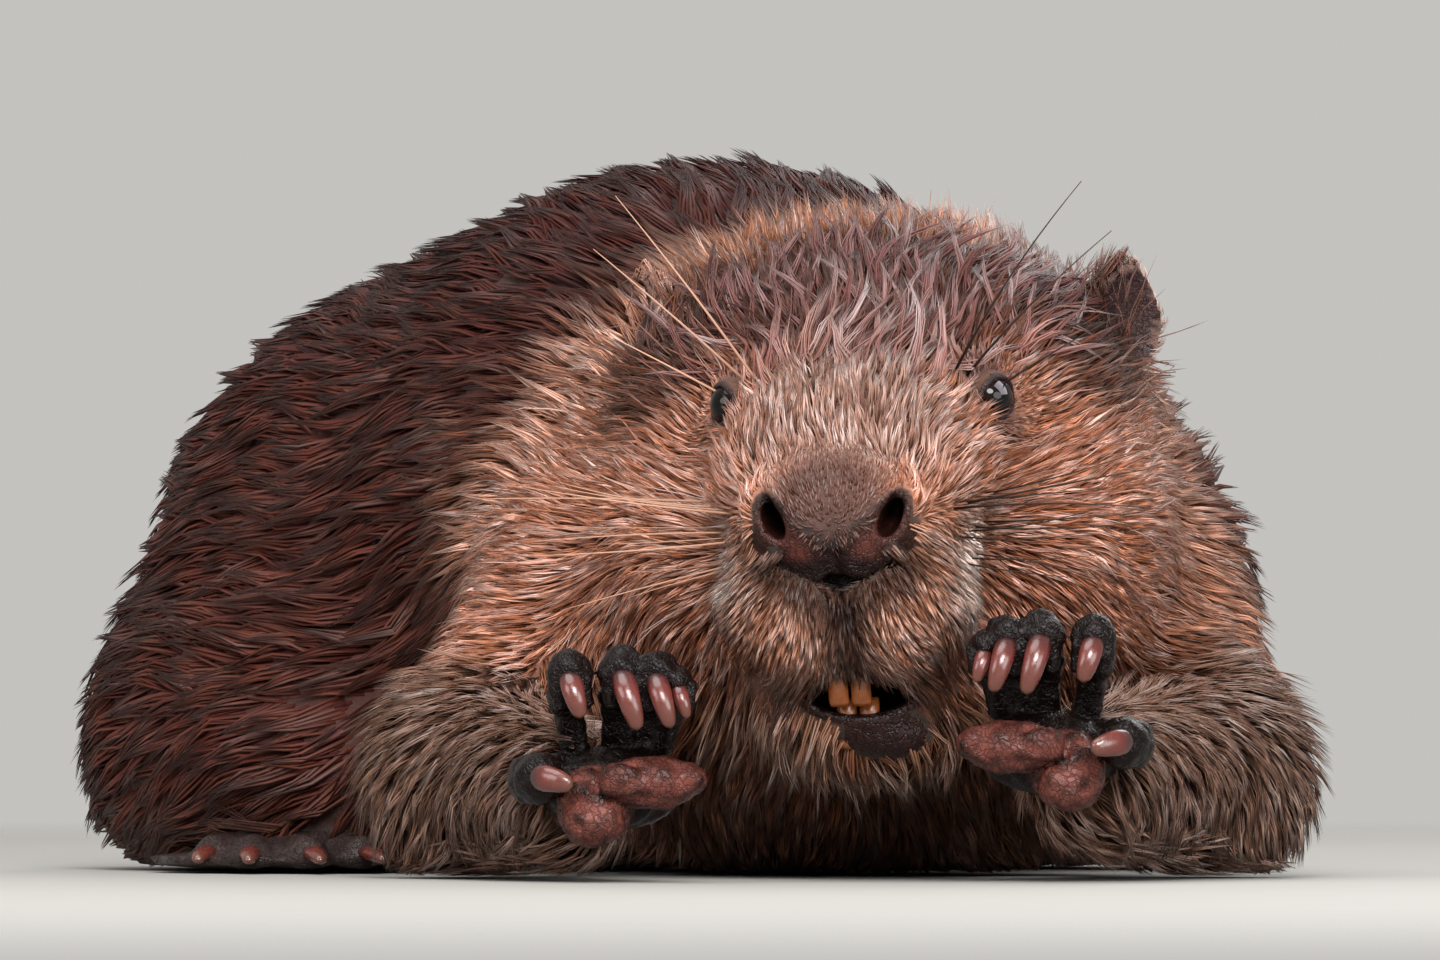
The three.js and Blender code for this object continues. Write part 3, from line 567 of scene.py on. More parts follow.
def surface_net(shape, axes):
    """Vertices, quads and outward normals of the shape's surface on a lattice of uneven steps."""
    value = sample_blocks(shape, axes)
    inside = value < 0
    corners = [(i, j, k) for i in (0, 1) for j in (0, 1) for k in (0, 1)]
    cut = [slice(0, -1), slice(1, None)]
    count = sum(inside[cut[i], cut[j], cut[k]].astype(np.int8) for i, j, k in corners)
    cells = np.stack(np.nonzero((count > 0) & (count < 8)))
    total = np.zeros((3, cells.shape[1]), np.float32)
    crossings = np.zeros(cells.shape[1], np.float32)
    for axis in range(3):
        for start in corners:
            if start[axis]:
                continue
            a = cells + column(start).astype(int)
            b = a.copy()
            b[axis] += 1
            va, vb = value[tuple(a)], value[tuple(b)]
            crossed = (va < 0) != (vb < 0)
            share = np.where(crossed, va / np.where(crossed, va - vb, 1), 0)
            pa = np.stack([axes[k][a[k]] for k in range(3)])
            pb = np.stack([axes[k][b[k]] for k in range(3)])
            total += np.where(crossed, pa + (pb - pa) * share, 0)
            crossings += crossed
    points = total / crossings
    step = np.stack([axes[k][cells[k] + 1] - axes[k][cells[k]] for k in range(3)]).min(0)
    start = points.copy()
    for _ in range(2):
        slope = slope_of(shape, points)
        points = points - slope * (shape(points) / np.maximum((slope**2).sum(0), 0.15))
        points = start + np.clip(points - start, -0.7 * step, 0.7 * step)

    number = np.full(count.shape, -1, np.int32)
    number[tuple(cells)] = np.arange(cells.shape[1])
    quads = []
    for axis in range(3):
        b, c = (axis + 1) % 3, (axis + 2) % 3
        low = [slice(1, -1)] * 3
        low[axis] = slice(0, -1)
        high = list(low)
        high[axis] = slice(1, None)
        here, there = inside[tuple(low)], inside[tuple(high)]
        edges = np.stack(np.nonzero(here != there))
        leaving = here[tuple(edges)]
        for k in (b, c):
            edges[k] += 1
        shift_b, shift_c = np.zeros((3, 1), int), np.zeros((3, 1), int)
        shift_b[b], shift_c[c] = 1, 1
        ring = [edges - shift_b - shift_c, edges - shift_c, edges, edges - shift_b]
        face = np.stack([number[tuple(r)] for r in ring])
        face[:, ~leaving] = face[::-1, ~leaving]
        quads.append(face)
    quads = np.concatenate(quads, axis=1).T
    return points.T, quads[(quads >= 0).all(1)]


# ------------------------------------------------------------------ meshes
def new_mesh(name, points, faces):
    """A smooth-shaded mesh from layout points in mm; faces holds one triangle per line."""
    mesh = bpy.data.meshes.new(name)
    mesh.vertices.add(len(points))
    mesh.vertices.foreach_set("co", to_row(points).astype(np.float32).ravel())
    faces = np.asarray(faces, np.int32)
    mesh.loops.add(faces.size)
    mesh.loops.foreach_set("vertex_index", faces.ravel())
    mesh.polygons.add(len(faces))
    mesh.polygons.foreach_set("loop_start", np.arange(len(faces), dtype=np.int32) * 3)
    mesh.polygons.foreach_set("use_smooth", np.full(len(faces), True))
    mesh.update(calc_edges=True)
    return mesh


def paint(mesh, name, colours):
    """Stores one colour for each vertex."""
    layer = mesh.color_attributes.new(name, "FLOAT_COLOR", "POINT")
    rgba = np.ones((len(mesh.vertices), 4), np.float32)
    rgba[:, :3] = colours
    layer.data.foreach_set("color", rgba.ravel())


def store(mesh, name, values):
    """Stores one number for each vertex."""
    layer = mesh.attributes.new(name, "FLOAT", "POINT")
    layer.data.foreach_set("value", np.asarray(values, np.float32))


def add_piece(name, mesh, nodes=(), materials=()):
    """A finished piece of the animal, riding on the body, in place of those nodes."""
    piece = bpy.data.objects.new(name, mesh)
    bpy.context.scene.collection.objects.link(piece)
    for material in materials:
        mesh.materials.append(material)
    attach(piece, "root")
    if nodes:
        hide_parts(*nodes)
    return piece


def tube_faces(rows, columns):
    """Triangles over rows of points, ring after ring, closed by two end points that follow them."""
    s = np.arange(columns)
    nxt = (s + 1) % columns
    faces = []
    for n in range(rows - 1):
        a, b = n * columns + s, n * columns + nxt
        faces += [np.stack([a, b, b + columns], 1), np.stack([a, b + columns, a + columns], 1)]
    first, end = rows * columns, (rows - 1) * columns
    faces.append(np.stack([np.full(columns, first), nxt, s], 1))
    faces.append(np.stack([np.full(columns, first + 1), end + s, end + nxt], 1))
    return np.concatenate(faces)


def sweep(points, widths, heights, across, sides):
    """Vertices and triangles of a closed tube whose section is an ellipse, wide along across."""
    points, across = np.asarray(points, float), np.asarray(across, float)
    along = np.gradient(points, axis=0)
    along /= np.linalg.norm(along, axis=1)[:, None]
    wide = across - (along @ across)[:, None] * along
    wide /= np.linalg.norm(wide, axis=1)[:, None]
    tall = np.cross(along, wide)
    angle = np.linspace(0, 2 * math.pi, sides, endpoint=False)
    ring = (
        points[:, None]
        + wide[:, None] * (np.cos(angle)[None, :, None] * np.asarray(widths)[:, None, None])
        + tall[:, None] * (np.sin(angle)[None, :, None] * np.asarray(heights)[:, None, None])
    )
    vertices = np.concatenate([ring.reshape(-1, 3), points[:1], points[-1:]])
    return vertices, tube_faces(len(points), sides)


def merged(parts):
    """Several (vertices, faces) as one."""
    offset = 0
    vertices, faces = [], []
    for v, f in parts:
        vertices.append(v)
        faces.append(f + offset)
        offset += len(v)
    return np.concatenate(vertices), np.concatenate(faces)


# ------------------------------------------------------------------ markings
def colour(name):
    return np.array(getattr(bpy.context.scene.beaver_colours, name), float)


def mix(base, other, share):
    return base + (other - base) * share[:, None]


def patch(h, at, half, edge=0.35):
    """1 in the middle of an oval patch of the head, fading to 0 at its rim."""
    return 1 - smooth(1 - edge, 1 + edge, length((h - column(at)) / column(half)))


# Patches of colour on the head's coat, in the order they are laid: the colour, its share, the patch's
# middle and half sizes in mm, how soft its rim is, and whether both sides of the head have it.
NAPE_PATCHES = (
    ("nape", 0.9, (-20, 6, 46), (44, 24, 20), 0.35, False),
    ("crown", 0.8, (58, -6, 42), (28, 40, 26), 0.35, False),
)
FACE_PATCHES = (
    ("brow", 0.8, (2, -84, 34), (20, 30, 22), 0.35, False),
    ("temple", 0.85, (62, -26, 22), (26, 34, 24), 0.35, True),
    ("bridge", 0.85, (0, -116, 14), (34, 34, 26), 0.35, False),
    ("temple", 0.7, (39, -78, 14), (13, 14, 14), 0.35, True),
)
MUZZLE_PATCHES = (
    # the pale corners of the muzzle are its own colour; the left one is laid stronger than the right as
    # painted light
    ("muzzle_pale_and_lit", 1, (34.5, -118, -31), (8, 20, 16), 0.3, False),
    ("muzzle_pale_and_lit", 0.6, (-31, -118, -29), (8, 20, 15), 0.3, False),
    # the dark lip patches: the lip's own dark skin and hair, and partly painted shade in the philtrum's
    # groove and above the mouth
    ("lip", 0.85, (2, -150, -44), (5.5, 18, 17), 0.5, False),
    ("lip", 0.7, (2, -135, -60), (26, 22, 7), 0.35, False),
)


def with_patches(base, patches, h):
    """The coat's colour with patches of other colours laid over it in turn."""
    pair = folded(h)
    for name, share, at, half, edge, both in patches:
        base = mix(base, colour(name), share * patch(pair if both else h, at, half, edge))
    return base


def markings(points):
    """The coat's colour at each place, with painted shade in the fold round the muzzle and under the nose,
    in linear light; one place per line, in mm.
    """
    p = np.asarray(points, np.float32).T
    h = HEAD_PLACE.into(p)
    t = TRUNK_PLACE.into(p)
    pair = folded(h)
    drift = ripple(p, 38, 5)
    base = np.broadcast_to(colour("flank"), (p.shape[1], 3)).copy()
    base = mix(base, colour("back"), 0.6 * smooth(120, 215, t[2] + 10 * drift))
    base = mix(base, colour("belly"), 0.7 * smooth(40, 5, t[2]))
    ruff = 1 - smooth(0, 62, h[1] + 14 * drift + 9 * ripple(p, 16, 8) + 0.12 * np.abs(h[0]))
    base = mix(base, colour("neck"), ruff)
    head = 1 - smooth(-24, 10, h[1] + 6 * drift)
    base = mix(base, colour("cheek"), head)
    base = with_patches(base, NAPE_PATCHES, h)
    crown = patch(h, (0, -44, 44), (66, 56, 28)) * head
    base = mix(base, colour("crown"), 0.9 * crown)
    base = with_patches(base, FACE_PATCHES, h)
    on_muzzle = smooth(3, -5, muzzle_rim(h)) * smooth(-84, -96, h[1])
    base = mix(base, colour("muzzle"), 0.85 * on_muzzle * smooth(0, -16, h[2]))
    # painted shade: a dark band along the fold round the muzzle
    base = mix(base, colour("shaded_fold"), 0.6 * muzzle_fold(h))
    base = with_patches(base, MUZZLE_PATCHES, h)
    # painted shade in the groove under the nose, in the dark lip colour
    base = mix(base, colour("lip"), 0.85 * (1 - smooth(2.5, 9, under_nose(h))))
    base = mix(base, colour("nose_fur"), 0.9 * patch(h, (0, -146, -6), (20, 14, 17), 0.3))
    # painted shade under the nose: the lowest fur round the nose pad in the dark lip colour
    under = (1 - smooth(1.5, 3.5, ellipsoid(h, NOSE))) * smooth(-13, -18, h[2])
    base = mix(base, colour("lip"), under)
    base = mix(base, colour("chin"), 0.8 * smooth(-60, -72, h[2]) * (h[1] < 0))
    for side in SIDES:
        arm = ARMS[side]
        near = limb(p, arm["elbow"], arm["wrist"], 30, 24)
        base = mix(base, colour("forearm"), 0.8 * (1 - smooth(-4, 14, near)))
        q = ear_place(side).into(p)
        on_ear = 1 - smooth(0, 4, ellipsoid(q, ((0, 0, 0), EAR_HALF)))
        base = mix(base, colour("ear_rim"), on_ear * smooth(64, 72, pair[0]))
    return np.clip(base * (1 + 0.10 * ripple(p, 9, 6) + 0.10 * drift)[:, None], 0.003, 1)


# Where the hind foot's own colour reaches, in mm: round its middle, and behind this place in the layout.
FOOT_MIDDLE = (0, -78, 6)
FOOT_EDGE = (100, 110)
HIND_PART = 150
TAIL_REACH = 190


def bare_parts(points):
    """The colour of bare skin at each place, with painted shade in its hollows, how bare the place is, and
    how much it is tail.
    """
    p = np.asarray(points, np.float32).T
    h = HEAD_PLACE.into(p)
    pair = folded(h)
    tint = np.broadcast_to(colour("bare_skin"), (p.shape[1], 3)).copy()
    on_nose = 1 - smooth(0.5, 2.2, ellipsoid(h, (NOSE[0], (22.5, 14, 18.5))))
    on_wing = 1 - smooth(0.5, 2.2, ellipsoid(pair, NOSTRIL_WING))
    around = 1 - smooth(1.2, 3.5, nostril(pair))
    on_wing = np.maximum(on_wing * smooth(27, 22, pair[0]), patch(h, (0.5, -148, -21), (17, 14, 6), 0.2))
    drop = 7 * np.exp(-((h[0] / 7) ** 2))
    nose = np.maximum(on_nose, on_wing) * smooth(-4, -15, h[2] + drop)
    nose = np.maximum(nose, around * smooth(9, 3, h[2])) * smooth(-1.5, 0.5, over_crease(h))
    tint = mix(tint, colour("nose"), nose)
    bulge = patch(pair, (10.5, -150, -15.5), (4.5, 12, 5), 0.6)
    rim = (1 - smooth(0.6, 2.6, nostril(pair))) * smooth(-4, -10, h[2])
    tint = mix(tint, colour("nostril_rim"), 0.75 * np.maximum(bulge, rim))
    # painted shade: the fold under the nose, the nostrils, the slits beside them and the lower part of the
    # nose pad are tinted near black
    shaded_fold = (1 - smooth(-0.5, 1.2, under_nose(h))) * smooth(-2.5, -0.5, over_crease(h))
    inside = np.maximum(1 - smooth(-0.4, 0.8, nostril(pair)), shaded_fold)
    inside = np.maximum(inside, 1 - smooth(-0.4, 0.8, limb(pair, *NOSTRIL_SLIT, 2.4, 0.9)))
    inside = np.maximum(inside, 0.85 * smooth(-18, -22, h[2]) * nose)
    tint = mix(tint, colour("nostril"), inside)
    below = smooth(-64, -68, h[2])
    lips = patch(h, (10, -130, -76.5), (12.5, 16, 7.5), 0.25) * below
    gape = 1 - smooth(0, 1.5, mouth(h))
    edge = (1 - smooth(1.5, 4, mouth(h))) * below
    tint = mix(tint, colour("lower_lip"), np.maximum(lips, edge))
    # painted shade: the open mouth tinted near black
    tint = mix(tint, colour("nostril"), gape)
    socket = 1 - smooth(EYE_RADIUS - 0.1, EYE_RADIUS + 0.5, length(pair - column(EYE_AT)))
    tint = mix(tint, colour("lid"), socket)
    bare = np.maximum.reduce([nose, lips, edge, gape, shaded_fold, socket])
    for side in SIDES:
        q = ear_place(side).into(p)
        on_ear = ellipsoid(q, ((0, 0, 0), EAR_HALF)) < 3
        cup = (1 - smooth(-0.5, 1.2, ellipsoid(q, EAR_CUP))) * on_ear * smooth(61, 68, pair[0])
        tint = mix(tint, colour("ear"), cup)
        bare = np.maximum(bare, cup)
    limbs = paws_and_feet(p)
    bare = np.maximum(bare, 1 - smooth(0.6, 2.5, limbs))
    for side in SIDES:
        q = PAW_PLACE[side].into(p)
        inner = length(q - column((0, -14, -14)))
        lobe = np.min([ellipsoid(q, lobe) for lobe in PADS + PAD_LOBES], axis=0)
        crevice = np.max([ellipsoid(q, pad) for pad in PADS], axis=0)
        pad = (1 - smooth(-0.4, 1.2, lobe)) * smooth(-0.5, 1.5, crevice)
        tint = mix(tint, colour("pad"), pad * (inner < 40) * (0.68 + 0.32 * ripple(q, 7, 43)))
    from_foot = [length(p - column(FOOT_PLACE[side].out(FOOT_MIDDLE))) for side in SIDES]
    foot = np.maximum.reduce([1 - smooth(*FOOT_EDGE, far) for far in from_foot])
    tint = mix(tint, colour("foot"), foot * (p[1] > HIND_PART))
    tail = only_near(p, TAIL_PLACE.out((0, TAIL_LENGTH / 2, 20)), TAIL_REACH, tail_mass)
    along = TAIL_PLACE.into(p)[1] / TAIL_LENGTH
    tail = (1 - smooth(0.5, 3, tail)) * smooth(0.12, 0.2, along)
    tint = mix(tint, colour("tail"), tail)
    return tint, np.maximum(bare, tail), tail


# ------------------------------------------------------------------ the skin
def skin_axes():
    body = bpy.context.scene.beaver_body
    fine, middling, coarse = body.fine_step, body.middling_step, body.coarse_step
    return [
        lattice((-212, -62, coarse), (-62, -4, fine), (-4, 18, middling), (18, 124, fine),
                (124, 150, middling), (150, 206, coarse)),
        lattice((-34, 46, fine), (46, 92, middling), (92, 176, coarse * 0.6), (176, 836, coarse * 1.3)),
        lattice((-2, 6, middling), (6, 180, fine), (180, 236, coarse * 0.6)),
    ]


def from_row(points):
    """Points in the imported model's frame, one per line, back in the layout, in mm."""
    return (np.asarray(points, float) - ROW_SHIFT) / MM @ ROW_TURN


def thinned(points, faces, furry, most):
    """The surface with no more than that many triangles, thinned only where fur covers it."""
    mesh = new_mesh("skin_draft", points, faces)
    draft = bpy.data.objects.new("skin_draft", mesh)
    bpy.context.scene.collection.objects.link(draft)
    draft.vertex_groups.new(name="furry").add(np.nonzero(furry)[0].tolist(), 1.0, "REPLACE")
    thin = draft.modifiers.new("thin", "DECIMATE")
    thin.ratio = most / len(faces)
    thin.vertex_group = "furry"
    result = bpy.data.meshes.new_from_object(draft.evaluated_get(bpy.context.evaluated_depsgraph_get()))
    co = np.empty(len(result.vertices) * 3, np.float32)
    corners = np.empty(len(result.polygons) * 3, np.int32)
    result.vertices.foreach_get("co", co)
    result.polygons.foreach_get("vertices", corners)
    bpy.data.objects.remove(draft)
    return from_row(co.reshape(-1, 3)), corners.reshape(-1, 3)


def eye_axes(side):
    """Middle of an eyeball, and unit vectors along its gaze, level across it and upright."""
    gaze = np.array(paired(EYE_GAZE, side), float)
    gaze /= np.linalg.norm(gaze)
    level = np.cross(gaze, (0, 0, 1))
    level /= np.linalg.norm(level)
    return np.array(paired(EYE_AT, side), float), gaze, level, np.cross(level, gaze)


LID_COLUMNS, LID_ROWS = 48, 14
LID_OPENING = (60, 43)  # how far the eye shows from the middle of its gaze, across and up, in degrees
LID_REACH = 100  # how far the lid goes back, in degrees
LID_RIM = {"over": 0.9, "swell": 0.35, "under": 0.25}  # against the eyeball's surface, in mm


def eyelids(side):
    """A soft ring of lid round an almond opening on the eyeball.

    Gives its vertices, its triangles and how many degrees past the opening each vertex is.
    """
    centre, gaze, level, upright = eye_axes(side)
    columns, rows = LID_COLUMNS, LID_ROWS
    angle = np.linspace(0, 2 * math.pi, columns, endpoint=False)
    wide, high = (math.radians(a) for a in LID_OPENING)
    almond = 1 / np.sqrt((np.cos(angle) / wide) ** 2 + (np.sin(angle) / high) ** 2)
    almond = almond * (1 - 0.08 * np.abs(np.sin(2 * angle)))
    lines, past_rim = [], []
    for n in range(rows):
        share = n / (rows - 1)
        if share < 0.5:
            spread = almond + (math.radians(LID_REACH) - almond) * (1 - 2 * share)
            reach = EYE_RADIUS + LID_RIM["over"] + LID_RIM["swell"] * math.sin(math.pi * share * 2)
        else:
            spread = almond + (math.radians(LID_REACH) - almond) * (2 * share - 1)
            reach = EYE_RADIUS - LID_RIM["under"]
        radial = np.cos(angle)[:, None] * level + np.sin(angle)[:, None] * upright
        ray = np.cos(spread)[:, None] * gaze + np.sin(spread)[:, None] * radial
        lines.append(centre + ray * reach)
        past_rim.append(np.degrees(spread - almond))
    points = np.concatenate(lines)
    vertices = HEAD_PLACE.out(points.T).T
    s = np.arange(columns)
    nxt = (s + 1) % columns
    faces = []
    for n in range(rows):
        a, b = n * columns, ((n + 1) % rows) * columns
        faces += [np.stack([a + s, b + nxt, a + nxt], 1), np.stack([a + s, b + s, b + nxt], 1)]
    return vertices, np.concatenate(faces), np.concatenate(past_rim)


def outward(vertices, faces):
    """The faces turned round if the closed surface they make is inside out."""
    a, b, c = (vertices[faces[:, k]] for k in range(3))
    volume = (np.cross(a, b) * c).sum()
    return faces if volume > 0 else faces[:, ::-1]


FLESH_NODES = ["trunk", "neck", "head", "tail"] + [
    f"{part}_{side}" for side in SIDES for part in ("ear", "foreleg", "forepaw", "hindleg", "hindfoot")
]


def build_skin():
    body = bpy.context.scene.beaver_body
    points, quads = surface_net(skin_surface, skin_axes())
    tri = np.concatenate([quads[:, [0, 1, 2]], quads[:, [0, 2, 3]]])
    _, bare, _ = bare_parts(points)
    lids = [eyelids(side) for side in SIDES]
    room = body.skin_triangles - sum(len(faces) for _, faces, _ in lids)
    points, tri = thinned(points, tri, bare < FURRY, room)
    vertices, faces = merged([(points, tri)] + [(v, outward(v, f)) for v, f, _ in lids])
    mesh = new_mesh("skin", vertices, faces)
    coat = markings(vertices)
    tint, bare, tail = bare_parts(vertices)
    past_rim = np.concatenate([past for _, _, past in lids])
    tint[len(points):], bare[len(points):] = colour("lid"), 1 - smooth(*RIM_EDGE, past_rim)
    # the skin under the fur is the coat's colour darkened: partly its own dark underfur, partly painted
    # shade in the gaps between the locks, darker still next to bare skin
    near_bare = (0.62 - 0.5 * smooth(0, 0.2, bare))[:, None]
    paint(mesh, "tint", mix(coat * near_bare, tint, bare))
    store(mesh, "bare", bare)
    face_bare = bare[faces].mean(1)
    face_tail = tail[faces].mean(1)
    index = np.where(face_tail > 0.5, 2, np.where(face_bare > 0.5, 1, 0)).astype(np.int32)
    mesh.polygons.foreach_set("material_index", index)
    materials = (under_fur_material(), bare_skin_material(), tail_skin_material())
    add_piece("skin", mesh, FLESH_NODES, materials)


FURRY = 0.1  # less bare than this, the skin is hidden by fur
RIM_EDGE = (9, 15)  # how many degrees past its opening the bare rim of a lid ends


# ------------------------------------------------------------------ the coat
def unit(v):
    """Each column of v at length one."""
    return v / np.maximum(length(v), 1e-6)


def lie_of_coat(p, n):
    """The way the hair lies at each place: a unit vector along the skin, one per column."""
    h = HEAD_PLACE.into(p)
    from_nose = unit(h - column((0, -132, -24)))
    low = smooth(-20, -70, h[2])
    aside = smooth(30, 60, np.abs(h[0]))
    head = from_nose + column((0, 0.25, 0)) + column((0, 0.1, -0.7)) * low
    head = head + column((0, 0.15, -0.3)) * aside
    rim = muzzle_rim(h)
    on_muzzle = smooth(4, -3, rim) * smooth(-88, -98, h[1]) * smooth(-4, -14, h[2])
    head = head + column((0, 0, -0.9)) * on_muzzle
    from_eye = folded(h) - column(EYE_AT)
    round_eye = unit(from_eye) * (1 - smooth(10, 22, length(from_eye))) * 1.3
    head = head + round_eye * np.stack([np.sign(h[0]), np.ones_like(h[0]), np.ones_like(h[0])])
    head = column_turn(HEAD_PLACE.matrix, head)
    steep = 1 - np.abs(n[2])
    trunk = column((0, 1, 0)) + column((0, 0, -0.55)) * steep
    trunk = column_turn(TRUNK_PLACE.matrix, trunk)
    share = smooth(-15, 55, h[1])
    lie = head * (1 - share) + trunk * share
    for side, sign in SIDES.items():
        arm = ARMS[side]
        near = limb(p, arm["elbow"], arm["wrist"], 30, 20)
        on_arm = 1 - smooth(-2, 16, near)
        down = np.broadcast_to(column((0.55 * sign, -0.25, -0.8)), p.shape)
        lie = lie * (1 - on_arm) + down * on_arm
        ear = ear_place(side)
        on_ear = 1 - smooth(1.5, 6, ellipsoid(ear.into(p), ((0, 0, 0), EAR_HALF)))
        up = unit(p - column(ear.origin) + column((0, 0, 14)))
        lie = lie * (1 - on_ear) + up * on_ear
    swirl = 0.30 * ripple(p, 60, 11) + 0.22 * ripple(p, 18, 12)
    lie = unit(lie - n * (lie * n).sum(0))
    across = np.cross(n.T, lie.T).T
    return lie * np.cos(swirl) + across * np.sin(swirl)


def column_turn(matrix, v):
    return (matrix @ v).astype(np.float32)


# Each layer of fur: how far apart its locks stand, and what each lock is like.
# Lengths are in mm; tone is the range of shades from lock to lock, root the painted shade at the skin,
# partly the hair's own darker base.
def fur_layers():
    coat = bpy.context.scene.beaver_coat
    face, trunk = coat.face_spacing, coat.trunk_spacing
    return {
        "nose": dict(spacing=face * 0.5, length=6, spread=0.6, strands=4, width=0.2, rings=2,
                     lean=18, tone=(0.5, 1.3), root=0.5),
        "muzzle": dict(spacing=face * 0.68, length=8.5, spread=0.9, strands=4, width=0.23, rings=2,
                       lean=28, tone=(0.5, 1.5), root=0.35, gather=1.3),
        "face": dict(spacing=face * 1.06, length=coat.face_length, spread=1.8, strands=5, width=0.27,
                     rings=2, lean=20, tone=(0.38, 1.5), root=0.12, warm=0.12, gather=1.4),
        "crown": dict(spacing=face * 2.35, length=coat.face_length * 2.4, spread=5.8, strands=9,
                      width=0.3, rings=4, lean=14, tone=(0.4, 1.5), root=0.12, gather=3.2,
                      dye="wet_lock", dyed=0.75, stray=0.42, curl=0.34),
        "temple": dict(spacing=face * 2.5, length=coat.face_length * 2.5, spread=0.8, strands=2,
                       width=0.25, rings=4, lean=12, tone=(0.7, 1.3), root=0.8, dye="guard", dyed=0.9),
        "lid": dict(spacing=face * 0.58, length=9, spread=0.7, strands=4, width=0.17, rings=2, lean=16,
                    tone=(0.5, 1.45), root=0.35, gather=1.4),
        "nape": dict(spacing=face * 1.2, length=coat.face_length * 1.5, spread=1.0, strands=4,
                     width=0.24, rings=2, lean=30, tone=(0.7, 1.25), root=0.5, warm=0.2),
        "ruff": dict(spacing=face * 1.52, length=coat.face_length * 1.5, spread=2.2, strands=6,
                     width=0.36, rings=2, lean=22, tone=(0.55, 1.3), root=0.3, warm=0.15, damp=True),
        "arm": dict(spacing=face * 1.34, length=14, spread=2.0, strands=5, width=0.34, rings=2,
                    lean=38, tone=(0.35, 1.5), root=0.12, dye="pale_tip", dyed=0.55, gather=1.6),
        "chin": dict(spacing=face * 1.5, length=17, spread=1.6, strands=4, width=0.3, rings=3,
                     lean=38, tone=(0.6, 1.4), root=0.4, dye="pale_tip", dyed=0.4, gather=1.5),
        "fringe": dict(spacing=face * 0.55, length=15, spread=0.9, strands=3, width=0.26, rings=3,
                       lean=12, tone=(0.5, 1.4), root=0.7, gather=1.5),
        "trunk": dict(spacing=trunk, length=coat.trunk_length, spread=5.0, strands=9, width=0.62,
                      rings=2, lean=11, tone=(0.6, 1.3), root=0.4, damp=True),
        "foot": dict(spacing=4.2, length=7, spread=1.6, strands=3, width=0.4, rings=2, lean=24,
                     tone=(0.7, 1.2), root=0.4),
        "ear": dict(spacing=1.4, length=4, spread=0.6, strands=3, width=0.16, rings=2, lean=30,
                    tone=(0.7, 1.5), root=0.7),
    }


def fur_grows(points):
    """Whether each layer of fur grows at each place: a mask for each of the layers' names."""
    p = np.asarray(points, np.float32).T
    h = HEAD_PLACE.into(p)
    pair = folded(h)
    ragged = 4 * ripple(p, 12, 17)
    arm = np.zeros(p.shape[1], bool)
    foot, ear = arm.copy(), arm.copy()
    for side in SIDES:
        joints = ARMS[side]
        arm |= limb(p, joints["elbow"], joints["wrist"], 32, 24) < 4
        q = FOOT_PLACE[side].into(p)
        foot |= (q[2] < 20) & (np.abs(q[0]) < 40) & (q[1] < 20) & (q[1] > -90)
        ear |= (ellipsoid(ear_place(side).into(p), ((0, 0, 0), EAR_HALF)) < 1.5) & (pair[0] > 67)
    nose = (ellipsoid(h, NOSE) < 2.5) & (over_crease(h) > 0)
    on_muzzle = (muzzle_rim(h) + 0.4 * ragged < 1) & (h[1] < -90) & (h[2] < -2)
    muzzle = (on_muzzle | (length(h - column((0, -140, -8))) < 27)) & ~nose
    head = (h[1] + ragged < 2) & (h[2] > -75)
    ruff = h[1] + ragged < 42
    free = ~(arm | foot | ear)
    crown = length((h - column((0, -50, 38))) / column((60, 56, 32))) < 1
    temple = head & (pair[0] > 36) & (h[2] > -50) & (h[1] > -92) & ~muzzle
    nape = patch(h, (-24, 10, 46), (60, 22, 22)) > 0.3
    lip_half = 15 + 0.75 * np.minimum(h[2] + 71, 0)
    lower_lip = (h[2] > -84) & (h[2] < -64) & (h[1] < -112) & (np.abs(h[0] - LOWER_LIP[0][0]) < lip_half)
    chin = (h[2] < -66) & (h[1] < -60) & (pair[0] < 52) & ~lower_lip
    fringe = (h[2] < -48) & (h[2] > -60) & (h[1] < -116) & (np.abs(h[0] - MOUTH[0][0]) < 25)
    gaze = np.array(EYE_GAZE) / np.linalg.norm(EYE_GAZE)
    clear = length(pair - column(np.array(EYE_AT) + gaze * 3)) > EYE_RADIUS - 0.4
    return {
        "nose": nose,
        "muzzle": muzzle & free & ~lower_lip,
        "face": head & free & ~muzzle & ~nose & ~lower_lip & clear,
        "crown": crown & free & ~muzzle & clear,
        "temple": temple & free & clear,
        "lid": clear & (length(pair - column(EYE_AT)) < 15) & free,
        "nape": nape & free,
        "ruff": ruff & free & ~head,
        "arm": arm & ~foot,
        "chin": chin & free,
        "fringe": fringe,
        "trunk": free & ~ruff & ~head,
        "foot": foot,
        "ear": ear,
    }


def scatter(corner, normal, wanted, spacing, rng):
    """Places on the triangles for locks of one kind, about one for each cube of that spacing."""
    corner, normal = corner[wanted], normal[wanted]
    a, b, c = corner[:, 0], corner[:, 1], corner[:, 2]
    area = np.linalg.norm(np.cross(b - a, c - a), axis=1) / 2
    number = int(area.sum() / spacing**2 * 7)
    pick = rng.choice(len(area), number, p=area / area.sum())
    u, v = rng.random((2, number))
    flip = u + v > 1
    u, v = np.where(flip, 1 - u, u), np.where(flip, 1 - v, v)
    weights = np.stack([1 - u - v, u, v], 1)[:, :, None]
    place = (corner[pick] * weights).sum(1)
    facing = (normal[pick] * weights).sum(1)
    facing /= np.linalg.norm(facing, axis=1)[:, None]
    cube = np.floor(place / spacing + rng.random(3)).astype(np.int64)
    key = (cube[:, 0] * 4096 + cube[:, 1]) * 4096 + cube[:, 2]
    _, first = np.unique(key, return_index=True)
    first = rng.permutation(first)
    return place[first], facing[first]


